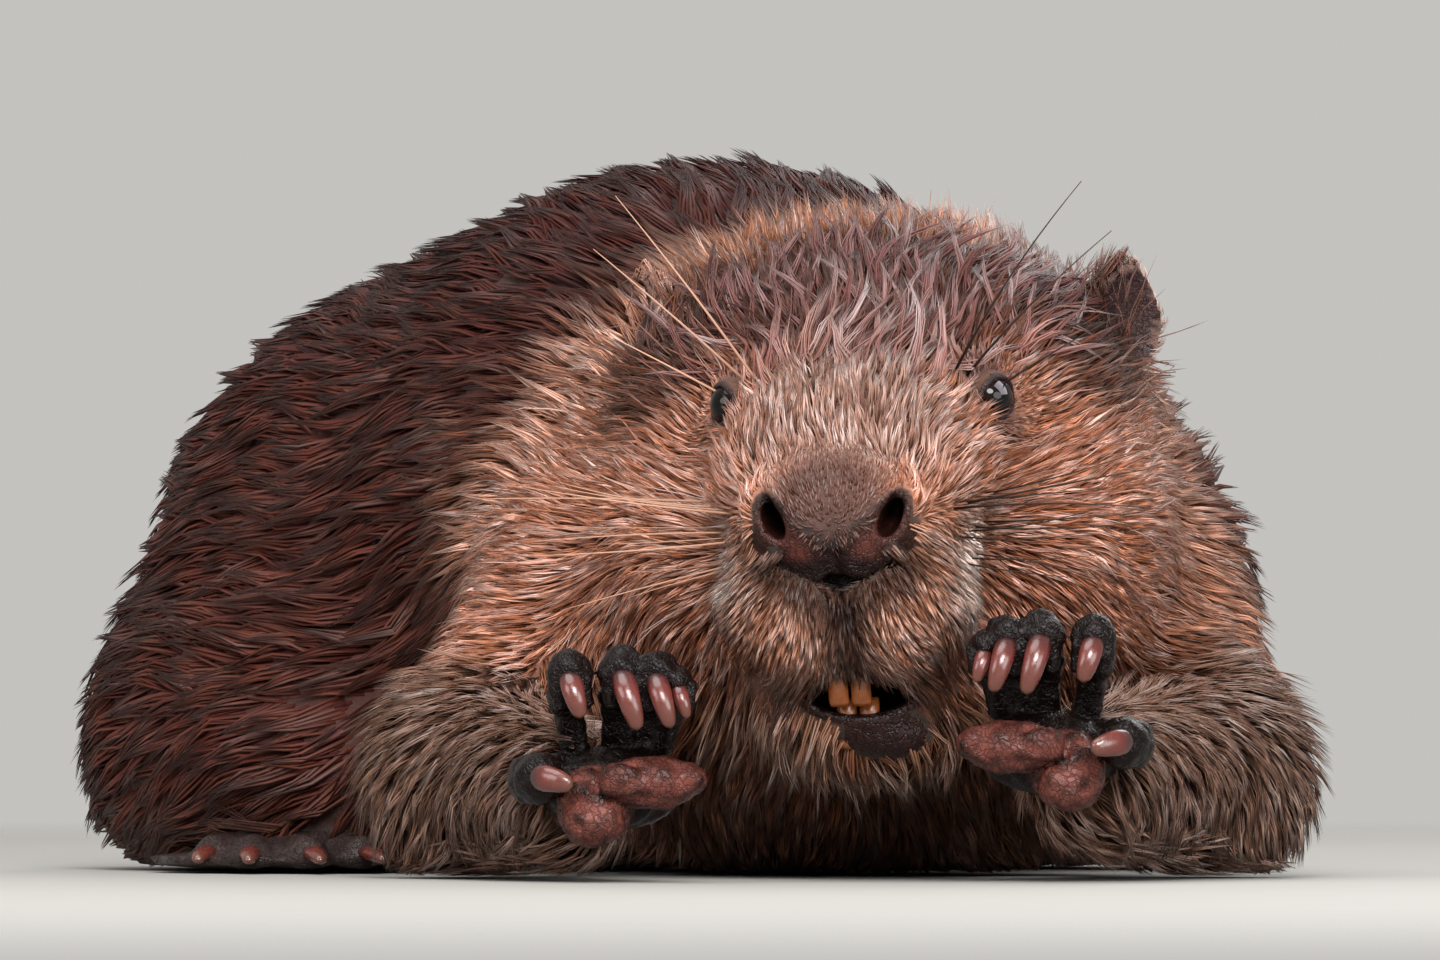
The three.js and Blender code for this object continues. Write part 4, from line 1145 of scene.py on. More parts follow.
def unwrap(points):
    """Each place on an unrolled cylinder round the trunk, both ways from 0 to 1."""
    t = TRUNK_PLACE.into(np.asarray(points, np.float32).T)
    round_body = np.arctan2(t[0], t[2] - 70) / (2 * math.pi) + 0.5
    along = (t[1] + 330) / 1000
    return np.stack([round_body, along], 1)


def lock_rows(place, normal, layer, reach, rng):
    """The middle line of each lock, from its root on the skin to its tip.

    Gives the points, the outward directions and the ways along the skin at each row.
    """
    count, rings = len(place), layer["rings"]
    rise = reach * np.sin(np.radians(layer["lean"])) * rng.uniform(0.55, 1.3, count)
    bend = rng.normal(0, layer.get("curl", 0.16), count)
    point, out = place.T.astype(np.float32), normal.T.astype(np.float32)
    way = lie_of_coat(point, out)
    if "stray" in layer:
        turn = rng.normal(0, layer["stray"], count)
        way = unit(way * np.cos(turn) + np.cross(out.T, way.T).T * np.sin(turn))
    rows = [(point - out * 0.5, out, way)]
    for step in range(1, rings + 1):
        share = step / rings
        point = point + way * (reach / rings)
        gap = skin_surface(point)
        slope = [skin_surface(point + column(axis) * 0.5) - gap for axis in np.eye(3)]
        out = unit(out * 0.4 + unit(np.stack(slope)))
        lift = rise * share**0.85 - gap
        point = point + out * np.clip(lift, -0.5 * reach, 0.5 * reach)
        flow = lie_of_coat(point, out)
        across = np.cross(out.T, flow.T).T
        way = unit(way * 0.5 + flow * np.cos(bend) + across * np.sin(bend))
        way = unit(way - out * (way * out).sum(0))
        rows.append((point, out, way))
    return rows


BAKE_PATCH = 0.003
CORNERS = 2 * math.pi * np.arange(3) / 3 + math.pi / 6


def lock_strands(place, normal, layer, rng):
    """Vertices, faces, colours and bake places of the locks of hair rooted at the given places."""
    count, strands, rings = len(place), layer["strands"], layer["rings"]
    h = HEAD_PLACE.into(place.T)
    short = 0.3 + 0.7 * smooth(4, 34, length(h - column(NOSE[0])))
    short = short * (0.35 + 0.65 * smooth(8, 26, length(folded(h) - column(EYE_AT))))
    reach = layer["length"] * rng.uniform(0.65, 1.3, count) * short
    rows = lock_rows(place, normal, layer, reach, rng)

    tone = rng.uniform(*layer["tone"], count) * (1 + 0.22 * ripple(place.T, 14, 23))
    base = markings(place)
    if "dye" in layer:
        base = mix(base, colour(layer["dye"]), layer["dyed"] * rng.uniform(0.5, 1.1, count).clip(0, 1))
    warm = (rng.random(count) < layer.get("warm", 0)) * 0.5
    base = mix(base, colour("guard"), warm)

    shape = (count, strands)
    angle = rng.uniform(0, 2 * math.pi, shape)
    off = layer["spread"] * np.sqrt(rng.random(shape)) * short[:, None]
    ahead, aside = np.cos(angle) * off * 1.5, np.sin(angle) * off
    uneven = rng.uniform(-0.22, 0.12, shape) * reach[:, None]
    hover = rng.uniform(-0.2, 0.25, shape) * layer["spread"]
    shade = tone[:, None] * rng.uniform(0.7, 1.3, shape)
    grey = base.mean(1)[:, None, None]
    flat = unwrap(place)
    across_patch = (np.arange(strands) + 0.5) / strands - 0.5

    vertices, tints, sheet = [], [], []
    for step, (point, out, way) in enumerate(rows):
        share = step / rings
        keep = 0.1 + 0.9 * (1 - share) ** layer.get("gather", 1)
        side_way = np.cross(out.T, way.T)
        middle = (
            point.T[:, None]
            + way.T[:, None] * (ahead * keep + uneven * share)[..., None]
            + side_way[:, None] * (aside * keep)[..., None]
            + out.T[:, None] * (hover * keep * share)[..., None]
        )
        # painted shade and highlight: each strand is darker at its root, partly its own darker base and
        # partly painted shade among the hairs, and a little lighter at its tip; the brighter a strand, the
        # paler and greyer it is made, as painted highlight
        lit = layer["root"] + (1.12 - layer["root"]) * share**0.7
        glow = (shade * lit)[..., None]
        tint = (grey + (base[:, None] - grey) * np.clip(1.6 - 0.82 * glow, 0.35, 1.35)) * glow
        u = np.broadcast_to(flat[:, None, 0] + across_patch * BAKE_PATCH, shape)
        v = np.broadcast_to(flat[:, None, 1] + (share - 0.5) * BAKE_PATCH, shape)
        if step == rings:
            vertices.append(middle[:, :, None])
            tints.append(tint[:, :, None])
            sheet.append(np.stack([u, v], -1)[:, :, None])
            continue
        thick = layer["width"] * (1 - share) ** 0.6
        around = (
            side_way[:, None] * np.cos(CORNERS)[None, :, None] * 1.3
            + out.T[:, None] * np.sin(CORNERS)[None, :, None]
        )
        vertices.append(middle[:, :, None] + around[:, None] * thick)
        tints.append(np.broadcast_to(tint[:, :, None], shape + (3, 3)))
        sideways = (np.arange(3) - 1) * BAKE_PATCH / strands / 3
        sheet.append(np.stack([u[..., None] + sideways, np.broadcast_to(v[..., None], shape + (3,))], -1))
    vertices = np.concatenate(vertices, 2)
    per_strand = vertices.shape[2]
    offsets = np.arange(count * strands) * per_strand
    faces = (strand_faces(rings)[None] + offsets[:, None, None]).reshape(-1, 3)
    vertices = laid_on_floor(vertices.reshape(-1, 3))
    return vertices, faces, np.concatenate(tints, 2).reshape(-1, 3), np.concatenate(sheet, 2).reshape(-1, 2)


FLOOR_PRESS = 5.0  # below this height, in mm, hair bends out over the floor


def laid_on_floor(vertices):
    """Hair that would hang through the floor, pressed flat just over it."""
    z = vertices[:, 2]
    pressed = FLOOR_PRESS * np.exp((np.minimum(z, FLOOR_PRESS) - FLOOR_PRESS) / FLOOR_PRESS)
    vertices[:, 2] = np.where(z < FLOOR_PRESS, pressed, z)
    return vertices


def strand_faces(rings):
    """Triangles of one closed three-sided strand: its root, its sides and its point."""
    faces = [(0, 2, 1)]
    for ring in range(rings - 1):
        for s in range(3):
            a, b = ring * 3 + s, ring * 3 + (s + 1) % 3
            faces += [(a, b, b + 3), (a, b + 3, a + 3)]
    last = (rings - 1) * 3
    for s in range(3):
        faces.append((last + s, last + (s + 1) % 3, rings * 3))
    return np.array(faces)


MOST_TRIANGLES = 190000
HAIR_THINS = (0.25, 0.75)  # how bare the skin is where the hair begins to thin out and where it ends
LOWEST_ROOT = 4  # height over the floor, in mm, that hair needs


def skin_arrays():
    """The skin's corner places and normals for each triangle, back in the layout, and its bareness."""
    skin = bpy.data.objects["skin"].data
    count = len(skin.vertices)
    co, facing = np.empty(count * 3, np.float32), np.empty(count * 3, np.float32)
    bare, faces = np.empty(count, np.float32), np.empty(len(skin.polygons) * 3, np.int32)
    skin.vertices.foreach_get("co", co)
    skin.vertex_normals.foreach_get("vector", facing)
    skin.attributes["bare"].data.foreach_get("value", bare)
    skin.polygons.foreach_get("vertices", faces)
    faces = faces.reshape(-1, 3)
    layout = from_row(co.reshape(-1, 3))
    facing = facing.reshape(-1, 3).astype(float) @ ROW_TURN
    return layout[faces], facing[faces], bare[faces].max(1)


def build_coat():
    corner, normal, bare = skin_arrays()
    centre = corner.mean(1)
    grows = fur_grows(centre)
    rng = np.random.default_rng(7)
    hairy = (bare < rng.uniform(*HAIR_THINS, len(bare))) & (centre[:, 2] > LOWEST_ROOT)
    wet, damp = fur_material("wet fur", 0.32, 0.52), fur_material("damp fur", 0.52, 0.74)
    for name, layer in fur_layers().items():
        place, out = scatter(corner, normal, hairy & grows[name], layer["spacing"], rng)
        per_lock = layer["strands"] * len(strand_faces(layer["rings"]))
        pieces = math.ceil(len(place) * per_lock / MOST_TRIANGLES)
        for number, chosen in enumerate(np.array_split(np.arange(len(place)), pieces)):
            vertices, tris, tints, sheet = lock_strands(place[chosen], out[chosen], layer, rng)
            mesh = new_mesh(f"coat_{name}_{number + 1}", vertices, tris)
            paint(mesh, "tint", np.clip(tints, 0.002, 1))
            uv = mesh.uv_layers.new(name="OFBake")
            uv.uv.foreach_set("vector", sheet[tris.ravel()].astype(np.float32).ravel())
            add_piece(mesh.name, mesh, materials=[damp if "damp" in layer else wet])


# ------------------------------------------------------------------ eyes, claws, whiskers, scales
def build_eyes():
    material = eye_material()
    for side in SIDES:
        centre, gaze, level, upright = eye_axes(side)
        polar = np.linspace(0, math.pi, EYE_ROWS)
        bulge = CORNEA["height"] * np.exp(-((polar / CORNEA["spread"]) ** 2))
        line = centre + gaze * (np.cos(polar) * EYE_RADIUS + bulge)[:, None]
        vertices, faces = sweep_rings(line, np.sin(polar) * EYE_RADIUS, level, upright, EYE_COLUMNS)
        world = HEAD_PLACE.out(vertices.T).T
        mesh = new_mesh(f"eyeball_{side}", world, outward(world, faces))
        ray = (vertices - centre) / EYE_RADIUS
        off_axis = np.degrees(np.arccos(np.clip(ray @ gaze, -1, 1)))
        store(mesh, "off_axis", off_axis / 90)
        add_piece(f"eyeball_{side}", mesh, [f"eye_{side}"], [material])
    light_the_eyes(bpy.context.scene.beaver_stage.eye_power)


EYE_ROWS = 40
EYE_COLUMNS = 56
CORNEA = {"height": 0.35, "spread": 0.55}  # in mm and in radians


def sweep_rings(line, radius, level, upright, columns):
    """A closed surface of round rings set along a line, closed by its end points."""
    turns = np.linspace(0, 2 * math.pi, columns, endpoint=False)
    spoke = np.cos(turns)[:, None] * level + np.sin(turns)[:, None] * upright
    ring = line[1:-1, None] + spoke[None] * radius[1:-1, None, None]
    vertices = np.concatenate([ring.reshape(-1, 3), line[:1], line[-1:]])
    return vertices, tube_faces(len(line) - 2, columns)


CLAW_ROWS = 22
CLAW_SIDES = 18
CLAW_TAPER = ((0, 0.12, 0.35, 0.7, 0.9, 0.97, 1), (0.82, 0.95, 1, 0.84, 0.62, 0.42, 0.12))
CLAW_FLATNESS = 0.74  # how deep a claw is against its width
# How long a claw is and half its width, in mm.
LITTLE_CLAW = (14, 4)
HIND_CLAW = (16, 3.3)


def claw_form(root, start, end, reach, half_width, across):
    """A blunt, gently bent nail: its vertices, triangles and each vertex's share of its length."""
    t = np.linspace(0, 1, CLAW_ROWS)
    start, end = np.array(start, float), np.array(end, float)
    start /= np.linalg.norm(start)
    end /= np.linalg.norm(end)
    heading = start[None] * (1 - t)[:, None] ** 1.3 + end[None] * t[:, None]
    heading /= np.linalg.norm(heading, axis=1)[:, None]
    step = reach / (CLAW_ROWS - 1)
    points = np.array(root) + np.cumsum(heading, 0) * step - heading[0] * step
    taper = np.interp(t, *CLAW_TAPER)
    deep = half_width * CLAW_FLATNESS * taper
    vertices, faces = sweep(points, half_width * taper, deep, across, CLAW_SIDES)
    share = np.concatenate([np.repeat(t, CLAW_SIDES), [0, 1]])
    return vertices, faces, share


def fore_claws():
    """Each forepaw claw in the paw's own axes."""
    for n, reach in enumerate(CLAW_LENGTH):
        half_width = 3.5 * math.sqrt(FINGER_SIZE[n])
        yield claw_form(claw_root(n), (-0.1, -0.8, -0.4), (-0.3, 0.3, -1), reach, half_width, (1, 0, 0))
    tip = np.array(LITTLE_TOE[-1]) + (1, -5.2, 0.5)
    yield claw_form(tip, (-0.5, -0.8, 0), (-1, -0.35, -0.3), *LITTLE_CLAW, (0, 0, 1))


def hind_claws():
    """Each hind claw in the foot's own axes."""
    for n, angle in enumerate(TOE_ANGLE):
        ahead = np.array((math.sin(math.radians(angle)), -math.cos(math.radians(angle)), 0))
        root = np.array(toe_end(n, 1.0))
        yield claw_form(root, ahead, ahead + (0, 0, -0.28), *HIND_CLAW, (1, 0, 0))


def build_claws():
    material = claw_material()
    for side in SIDES:
        for kind, place, claws in (
            ("fore", PAW_PLACE[side], fore_claws()),
            ("hind", FOOT_PLACE[side], hind_claws()),
        ):
            for n, (vertices, faces, share) in enumerate(claws):
                world = place.out(vertices.T).T
                name = f"{kind}_claw_{side}_{n + 1}"
                mesh = new_mesh(f"nail_{kind}_{side}_{n + 1}", world, outward(world, faces))
                store(mesh, "along", share)
                add_piece(mesh.name, mesh, [name], [material])


INCISOR_ROUNDS, INCISOR_SIDES = 14, 20
# Shares of a tooth's length, and how much of its depth and width is left there.
CHISEL_DEPTH = ((0, 0.75, 1), (1, 0.9, 0.25))
CHISEL_WIDTH = ((0, 0.92, 1), (1, 0.97, 0.86))


def build_incisors():
    """The four front teeth: gently bowed, chisel-edged and orange."""
    material = tooth_material()
    t = np.linspace(0, 1, INCISOR_ROUNDS)
    for row, tooth in INCISOR_ROWS.items():
        for side in SIDES:
            bowed = np.stack([0 * t, -INCISOR["bow"] * np.sin(math.pi * t), tooth["reach"] * t], 1)
            line = incisor_place(row, side) + bowed
            deep = INCISOR["half_depth"] * np.interp(t, *CHISEL_DEPTH)
            wide = INCISOR["half_width"] * np.interp(t, *CHISEL_WIDTH)
            vertices, faces = sweep(line, wide, deep, (1, 0, 0), INCISOR_SIDES)
            world = HEAD_PLACE.out(vertices.T).T
            mesh = new_mesh(f"tooth_{row}_{side}", world, outward(world, faces))
            store(mesh, "along", np.concatenate([np.repeat(t, INCISOR_SIDES), [0, 1]]))
            add_piece(mesh.name, mesh, [f"{row}_incisor_{side}"], [material])


RAY_REACH = 60  # in mm
RAY_STEPS = 241


def surface_point(h, direction):
    """Where a ray from inside the head meets the skin, in the head's own axes."""
    start = np.array(h, float)
    direction = np.array(direction, float) / np.linalg.norm(direction)
    reach = np.linspace(0, RAY_REACH, RAY_STEPS)
    line = start[:, None] + direction[:, None] * reach
    value = skin_surface(HEAD_PLACE.out(line).astype(np.float32))
    crossed = np.nonzero(value > 0)[0]
    return line[:, crossed[0]] if len(crossed) else line[:, -1]


def build_whiskers():
    details = bpy.context.scene.beaver_details
    rng = np.random.default_rng(21)
    parts = []
    for sign in SIDES.values():
        for n in range(details.whisker_count):
            row, place = divmod(n, WHISKERS_IN_ROW)
            inside = (sign * 6, -112 + 5 * place, -10 - 8 * row)
            root = surface_point(inside, (sign, -0.45 + 0.12 * place, 0))
            out = np.array((sign, -0.5 + 0.08 * place, 0.14 - 0.13 * row + rng.normal(0, 0.06)))
            reach = details.whisker_length * rng.uniform(0.6, 1.0) * (1 - 0.15 * row)
            parts.append(whisker(root, out, reach, (0, 0.3, rng.normal(0, 0.08))))
        for n in range(BROW_WHISKERS):
            root = surface_point((sign * (28 + 3 * n), -80 + 5 * n, 12), (sign * (0.05 + 0.1 * n), -0.3, 1))
            out = np.array((sign * (0.55 + 0.12 * n), -0.35, 1.0 - 0.22 * n))
            reach = details.whisker_length * (0.85 - 0.12 * n)
            parts.append(whisker(root, out, reach, (0.1 * sign, 0.35, -0.05), BROW_SLIMNESS))
    vertices, faces = merged(parts)
    mesh = new_mesh("whiskers", HEAD_PLACE.out(vertices.T).T, faces)
    along = np.concatenate([np.repeat(np.linspace(0, 1, WHISKER_ROWS), WHISKER_SIDES), [0, 1]])
    # the first side's whiskers are dark to their ends, and the other side's turn pale
    dark = np.arange(len(parts)) < len(parts) // 2
    pale = np.where(dark, rng.uniform(0, 0.03, len(parts)), rng.uniform(0.45, 1, len(parts)))
    fade = np.where(dark, 0.08, 1.0)
    store(mesh, "along", (pale[:, None] + ((1 - pale) * fade)[:, None] * along).ravel())
    add_piece("whiskers", mesh, materials=[whisker_material()])


WHISKERS_IN_ROW = 4
BROW_WHISKERS = 3
WHISKER_ROWS = 12
WHISKER_SIDES = 5


SLIMNESS = 0.0062  # half a whisker's thickness at its root against its length
BROW_SLIMNESS = 0.009


def whisker(root, out, reach, bend, slimness=SLIMNESS):
    """A stiff hair that starts just under the skin and bends by that much over its length."""
    out = out / np.linalg.norm(out)
    t = np.linspace(0, 1, WHISKER_ROWS)
    points = root - out + out * (t * reach)[:, None] + np.array(bend) * (reach * t**2)[:, None]
    thick = min(0.52, slimness * reach) * (1 - 0.75 * t)
    return sweep(points, thick, thick, (0.1, 0.2, 1), WHISKER_SIDES)


SCALE_SIDES = 10
SCALE_RINGS = ((0.9, -0.10), (1.0, 0.0), (0.72, 0.16))  # width and height of under side, rim and dome


def scale_plate():
    """One small domed scale, its hind edge free, lying on +Z with its tip on +Y."""
    angle = np.linspace(0, 2 * math.pi, SCALE_SIDES, endpoint=False)
    outline = np.stack([0.5 * np.cos(angle), 0.62 * np.sin(angle)], 1)
    rings = []
    for share, height in SCALE_RINGS:
        rings.append(np.concatenate([outline * share, np.full((SCALE_SIDES, 1), height)], 1))
    vertices = np.concatenate([*rings, [[0, 0, -0.12], [0, 0.05, 0.22]]])
    return vertices, tube_faces(len(rings), SCALE_SIDES)


SCALY = (0.16, 0.985)  # where along the tail the scales begin and end
SCALE_PITCH = math.radians(-5)
SCALE_OVERLAP = 1.12  # how much wider a scale is than the room it has
SCALE_FLOOR = 2.3  # below this height, in mm, the tail lies on the floor and has no scales


def scale_places():
    """Places, tilts and sizes of the scales on both faces of the tail's blade."""
    size = bpy.context.scene.beaver_details.scale_size
    rng = np.random.default_rng(31)
    places, turns = [], []
    for face in (1, -1):
        row = 0
        y = TAIL_LENGTH * SCALY[0]
        while y < TAIL_LENGTH * SCALY[1]:
            width, thick, middle = (float(v) for v in tail_profile(np.array(y / TAIL_LENGTH)))
            arc = np.arange(-width * 0.97, width * 0.97, size * 0.95) + (row % 2) * size * 0.47
            x = arc[np.abs(arc) < width * 0.985]
            lift = thick * np.sqrt(np.maximum(1 - (x / width) ** 2, 0))
            z = middle + face * lift
            clear = z > SCALE_FLOOR
            tilt = np.arctan2(x * thick, width * width * np.maximum(lift / thick, 0.25))
            for px, pz, roll in zip(x[clear], z[clear], tilt[clear]):
                places.append((px + rng.normal(0, 0.25), y + rng.normal(0, 0.3), pz))
                pitch, twist = SCALE_PITCH * face, rng.normal(0, 0.08)
                turns.append((pitch, roll if face > 0 else math.pi - roll, twist))
            y += size * 0.86
            row += 1
    return np.array(places), np.array(turns)


def instance_tree(name, plate, material):
    """A node tree that sets a copy of the plate on every point, turned by the point's own angles."""
    tree = bpy.data.node_groups.new(name, "GeometryNodeTree")
    tree.interface.new_socket("Geometry", in_out="INPUT", socket_type="NodeSocketGeometry")
    size = tree.interface.new_socket("Plate size", in_out="INPUT", socket_type="NodeSocketFloat")
    size.default_value = 0.004
    uneven = tree.interface.new_socket("Size unevenness", in_out="INPUT", socket_type="NodeSocketFloat")
    uneven.default_value = 0.12
    tree.interface.new_socket("Geometry", in_out="OUTPUT", socket_type="NodeSocketGeometry")
    node = tree.nodes.new
    source, sink = node("NodeGroupInput"), node("NodeGroupOutput")
    copies, shape = node("GeometryNodeInstanceOnPoints"), node("GeometryNodeObjectInfo")
    shape.inputs["Object"].default_value = plate
    angles = node("GeometryNodeInputNamedAttribute")
    angles.data_type = "FLOAT_VECTOR"
    angles.inputs["Name"].default_value = "turned"
    chance = node("FunctionNodeRandomValue")
    chance.inputs["Seed"].default_value = 4
    low, high = node("ShaderNodeMath"), node("ShaderNodeMath")
    low.operation, high.operation = "SUBTRACT", "ADD"
    low.inputs[0].default_value = 1
    high.inputs[0].default_value = 1
    whole = node("ShaderNodeMath")
    whole.operation = "MULTIPLY"
    real, paint_on = node("GeometryNodeRealizeInstances"), node("GeometryNodeSetMaterial")
    paint_on.inputs["Material"].default_value = material
    for start, output, end, entry in (
        (source, "Size unevenness", low, 1),
        (source, "Size unevenness", high, 1),
        (low, 0, chance, 2),
        (high, 0, chance, 3),
        (source, "Plate size", whole, 0),
        (chance, 1, whole, 1),
        (source, "Geometry", copies, "Points"),
        (shape, "Geometry", copies, "Instance"),
        (angles, 0, copies, "Rotation"),
        (whole, 0, copies, "Scale"),
        (copies, 0, real, 0),
        (real, 0, paint_on, 0),
        (paint_on, 0, sink, 0),
    ):
        tree.links.new(start.outputs[output], end.inputs[entry])
    return tree, size.identifier


def build_tail_scales():
    details = bpy.context.scene.beaver_details
    vertices, faces = scale_plate()
    plate_mesh = bpy.data.meshes.new("scale_plate")
    plate_mesh.from_pydata(vertices.tolist(), [], faces.tolist())
    plate_mesh.polygons.foreach_set("use_smooth", np.full(len(faces), True))
    plate = bpy.data.objects.new("scale_plate", plate_mesh)
    places, turns = scale_places()
    row = to_row(TAIL_PLACE.out(places.T).T)
    points = bpy.data.meshes.new("scale_points")
    points.from_pydata(row.tolist(), [], [])
    spun = ROW_TURN @ TAIL_PLACE.matrix
    angles = []
    for pitch, roll, twist in turns:
        about_y, about_x = Matrix.Rotation(roll, 3, "Y"), Matrix.Rotation(pitch, 3, "X")
        local = about_y @ about_x @ Matrix.Rotation(twist, 3, "Z")
        angles.append((Matrix(spun) @ local).to_euler("XYZ")[:])
    layer = points.attributes.new("turned", "FLOAT_VECTOR", "POINT")
    layer.data.foreach_set("vector", np.array(angles, np.float32).ravel())
    holder = bpy.data.objects.new("scale_holder", points)
    bpy.context.scene.collection.objects.link(holder)
    bpy.context.scene.collection.objects.link(plate)
    tree, size_input = instance_tree("Tail scales", plate, scale_material())
    modifier = holder.modifiers.new("scales", "NODES")
    modifier.node_group = tree
    modifier[size_input] = details.scale_size * MM * SCALE_OVERLAP
    evaluated = holder.evaluated_get(bpy.context.evaluated_depsgraph_get())
    mesh = bpy.data.meshes.new_from_object(evaluated)
    for spare in (holder, plate):
        bpy.data.objects.remove(spare)
    add_piece("tail_scales", mesh)


# ------------------------------------------------------------------ materials
def shader(name):
    """A new material, its node tree and its main shader."""
    material = bpy.data.materials.new(name)
    material.use_nodes = True
    tree = material.node_tree
    main = tree.nodes["Principled BSDF"]
    return material, tree, main


def add_node(tree, kind, **values):
    node = tree.nodes.new(kind)
    for key, value in values.items():
        if key in node.inputs:
            node.inputs[key].default_value = value
        else:
            setattr(node, key, value)
    return node


def noise(tree, coordinates, scale, detail=4.0, roughness=0.6):
    node = add_node(tree, "ShaderNodeTexNoise", Scale=scale, Detail=detail, Roughness=roughness)
    tree.links.new(coordinates, node.inputs["Vector"])
    return node.outputs["Fac"]


def spread(tree, value, low, high, full=1.0):
    """The value, which runs from 0 to full, stretched over low to high."""
    node = add_node(tree, "ShaderNodeMapRange")
    node.inputs["From Max"].default_value = full
    node.inputs["To Min"].default_value = low
    node.inputs["To Max"].default_value = high
    tree.links.new(value, node.inputs["Value"])
    return node.outputs["Result"]


def tinted(tree, base, value, low, high):
    """The base colour, darker where the value is low and lighter where it is high."""
    factor = spread(tree, value, low, high)
    node = add_node(tree, "ShaderNodeVectorMath", operation="SCALE")
    tree.links.new(base, node.inputs[0])
    tree.links.new(factor, node.inputs["Scale"])
    return node.outputs[0]


def bumped(tree, main, height, distance, strength=1.0):
    node = add_node(tree, "ShaderNodeBump", Strength=strength, Distance=distance)
    tree.links.new(height, node.inputs["Height"])
    tree.links.new(node.outputs["Normal"], main.inputs["Normal"])


def graded(tree, value, *stops):
    """A colour that runs through the stops, each a place from 0 to 1 and a colour, as the value rises."""
    ramp = add_node(tree, "ShaderNodeValToRGB")
    elements = ramp.color_ramp.elements
    for element, (place, shade) in zip(elements, (stops[0], stops[-1])):
        element.position, element.color = place, (*shade, 1)
    for place, shade in stops[1:-1]:
        elements.new(place).color = (*shade, 1)
    tree.links.new(value, ramp.inputs["Fac"])
    return ramp.outputs["Color"]


def finished(main, **values):
    """Sets the shader's own values; a name's underscores stand for spaces."""
    for name, value in values.items():
        main.inputs[name.replace("_", " ")].default_value = value


def object_coordinates(tree):
    return add_node(tree, "ShaderNodeTexCoord").outputs["Object"]


def stored(tree, name, output="Color"):
    return add_node(tree, "ShaderNodeAttribute", attribute_name=name).outputs[output]


def fur_material(name, smoothest, roughest):
    material, tree, main = shader(name)
    place = object_coordinates(tree)
    tone = noise(tree, place, 260, 3)
    base = tinted(tree, stored(tree, "tint"), tone, 0.78, 1.22)
    tree.links.new(base, main.inputs["Base Color"])
    rough = spread(tree, noise(tree, place, 90, 2), smoothest, roughest)
    tree.links.new(rough, main.inputs["Roughness"])
    finished(main, Specular_IOR_Level=0.22)
    return material


def under_fur_material():
    material, tree, main = shader("under fur")
    place = object_coordinates(tree)
    strands = noise(tree, place, 700, 6, 0.7)
    clumps = noise(tree, place, 120, 4)
    base = tinted(tree, stored(tree, "tint"), clumps, 0.55, 1.15)
    tree.links.new(base, main.inputs["Base Color"])
    tree.links.new(spread(tree, strands, 0.6, 0.9), main.inputs["Roughness"])
    bumped(tree, main, strands, 0.0012)
    return material


def bare_skin_material():
    material, tree, main = shader("bare skin")
    place = object_coordinates(tree)
    folds = noise(tree, place, 240, 5, 0.65)
    warp = add_node(tree, "ShaderNodeTexNoise", Scale=300, Detail=2)
    tree.links.new(place, warp.inputs["Vector"])
    nudge = add_node(tree, "ShaderNodeVectorMath", operation="MULTIPLY_ADD")
    nudge.inputs[1].default_value = (0.006, 0.006, 0.006)
    tree.links.new(warp.outputs["Color"], nudge.inputs[0])
    tree.links.new(place, nudge.inputs[2])
    cracks = add_node(tree, "ShaderNodeTexVoronoi", feature="DISTANCE_TO_EDGE", Scale=400)
    tree.links.new(nudge.outputs[0], cracks.inputs["Vector"])
    mottle = noise(tree, place, 90, 4)
    base = tinted(tree, stored(tree, "tint"), mottle, 0.3, 1.7)
    # the cracks are sunk by the bump and also painted darker, as painted shade in them
    crease = spread(tree, cracks.outputs["Distance"], 0.55, 1.06, 0.13)
    darker = add_node(tree, "ShaderNodeVectorMath", operation="SCALE")
    tree.links.new(base, darker.inputs[0])
    tree.links.new(crease, darker.inputs["Scale"])
    tree.links.new(darker.outputs[0], main.inputs["Base Color"])
    tree.links.new(spread(tree, folds, 0.16, 0.44), main.inputs["Roughness"])
    finished(main, Specular_IOR_Level=0.15)
    height = add_node(tree, "ShaderNodeMath", operation="MULTIPLY_ADD")
    height.inputs[1].default_value = 0.6
    tree.links.new(crease, height.inputs[0])
    tree.links.new(folds, height.inputs[2])
    bumped(tree, main, height.outputs[0], 0.0007, 0.8)
    return material


def tail_skin_material():
    material, tree, main = shader("tail skin")
    place = object_coordinates(tree)
    cells = add_node(tree, "ShaderNodeTexVoronoi", feature="DISTANCE_TO_EDGE", Scale=260)
    tree.links.new(place, cells.inputs["Vector"])
    # painted shade: the skin is darker along the grooves between its cells
    base = tinted(tree, stored(tree, "tint"), cells.outputs["Distance"], 0.5, 1.2)
    tree.links.new(base, main.inputs["Base Color"])
    tree.links.new(spread(tree, noise(tree, place, 200), 0.4, 0.7), main.inputs["Roughness"])
    bumped(tree, main, cells.outputs["Distance"], 0.001)
    return material


def tooth_material():
    material, tree, main = shader("orange enamel")
    enamel = graded(tree, stored(tree, "along", "Fac"), (0, colour("tooth") * 0.55), (1, colour("tooth")))
    streaks = noise(tree, object_coordinates(tree), 500, 4)
    tree.links.new(tinted(tree, enamel, streaks, 0.7, 1.25), main.inputs["Base Color"])
    tree.links.new(spread(tree, streaks, 0.18, 0.38), main.inputs["Roughness"])
    bumped(tree, main, streaks, 0.0002, 0.5)
    return material


def scale_material():
    material, tree, main = shader("tail scale")
    place = object_coordinates(tree)
    tone = noise(tree, place, 150, 4)
    horn = graded(tree, tone, (0, colour("tail") * 0.25), (1, colour("tail") * 1.35))
    tree.links.new(horn, main.inputs["Base Color"])
    tree.links.new(spread(tree, noise(tree, place, 420), 0.5, 0.8), main.inputs["Roughness"])
    finished(main, Specular_IOR_Level=0.2)
    bumped(tree, main, noise(tree, place, 900, 5), 0.0004)
    return material


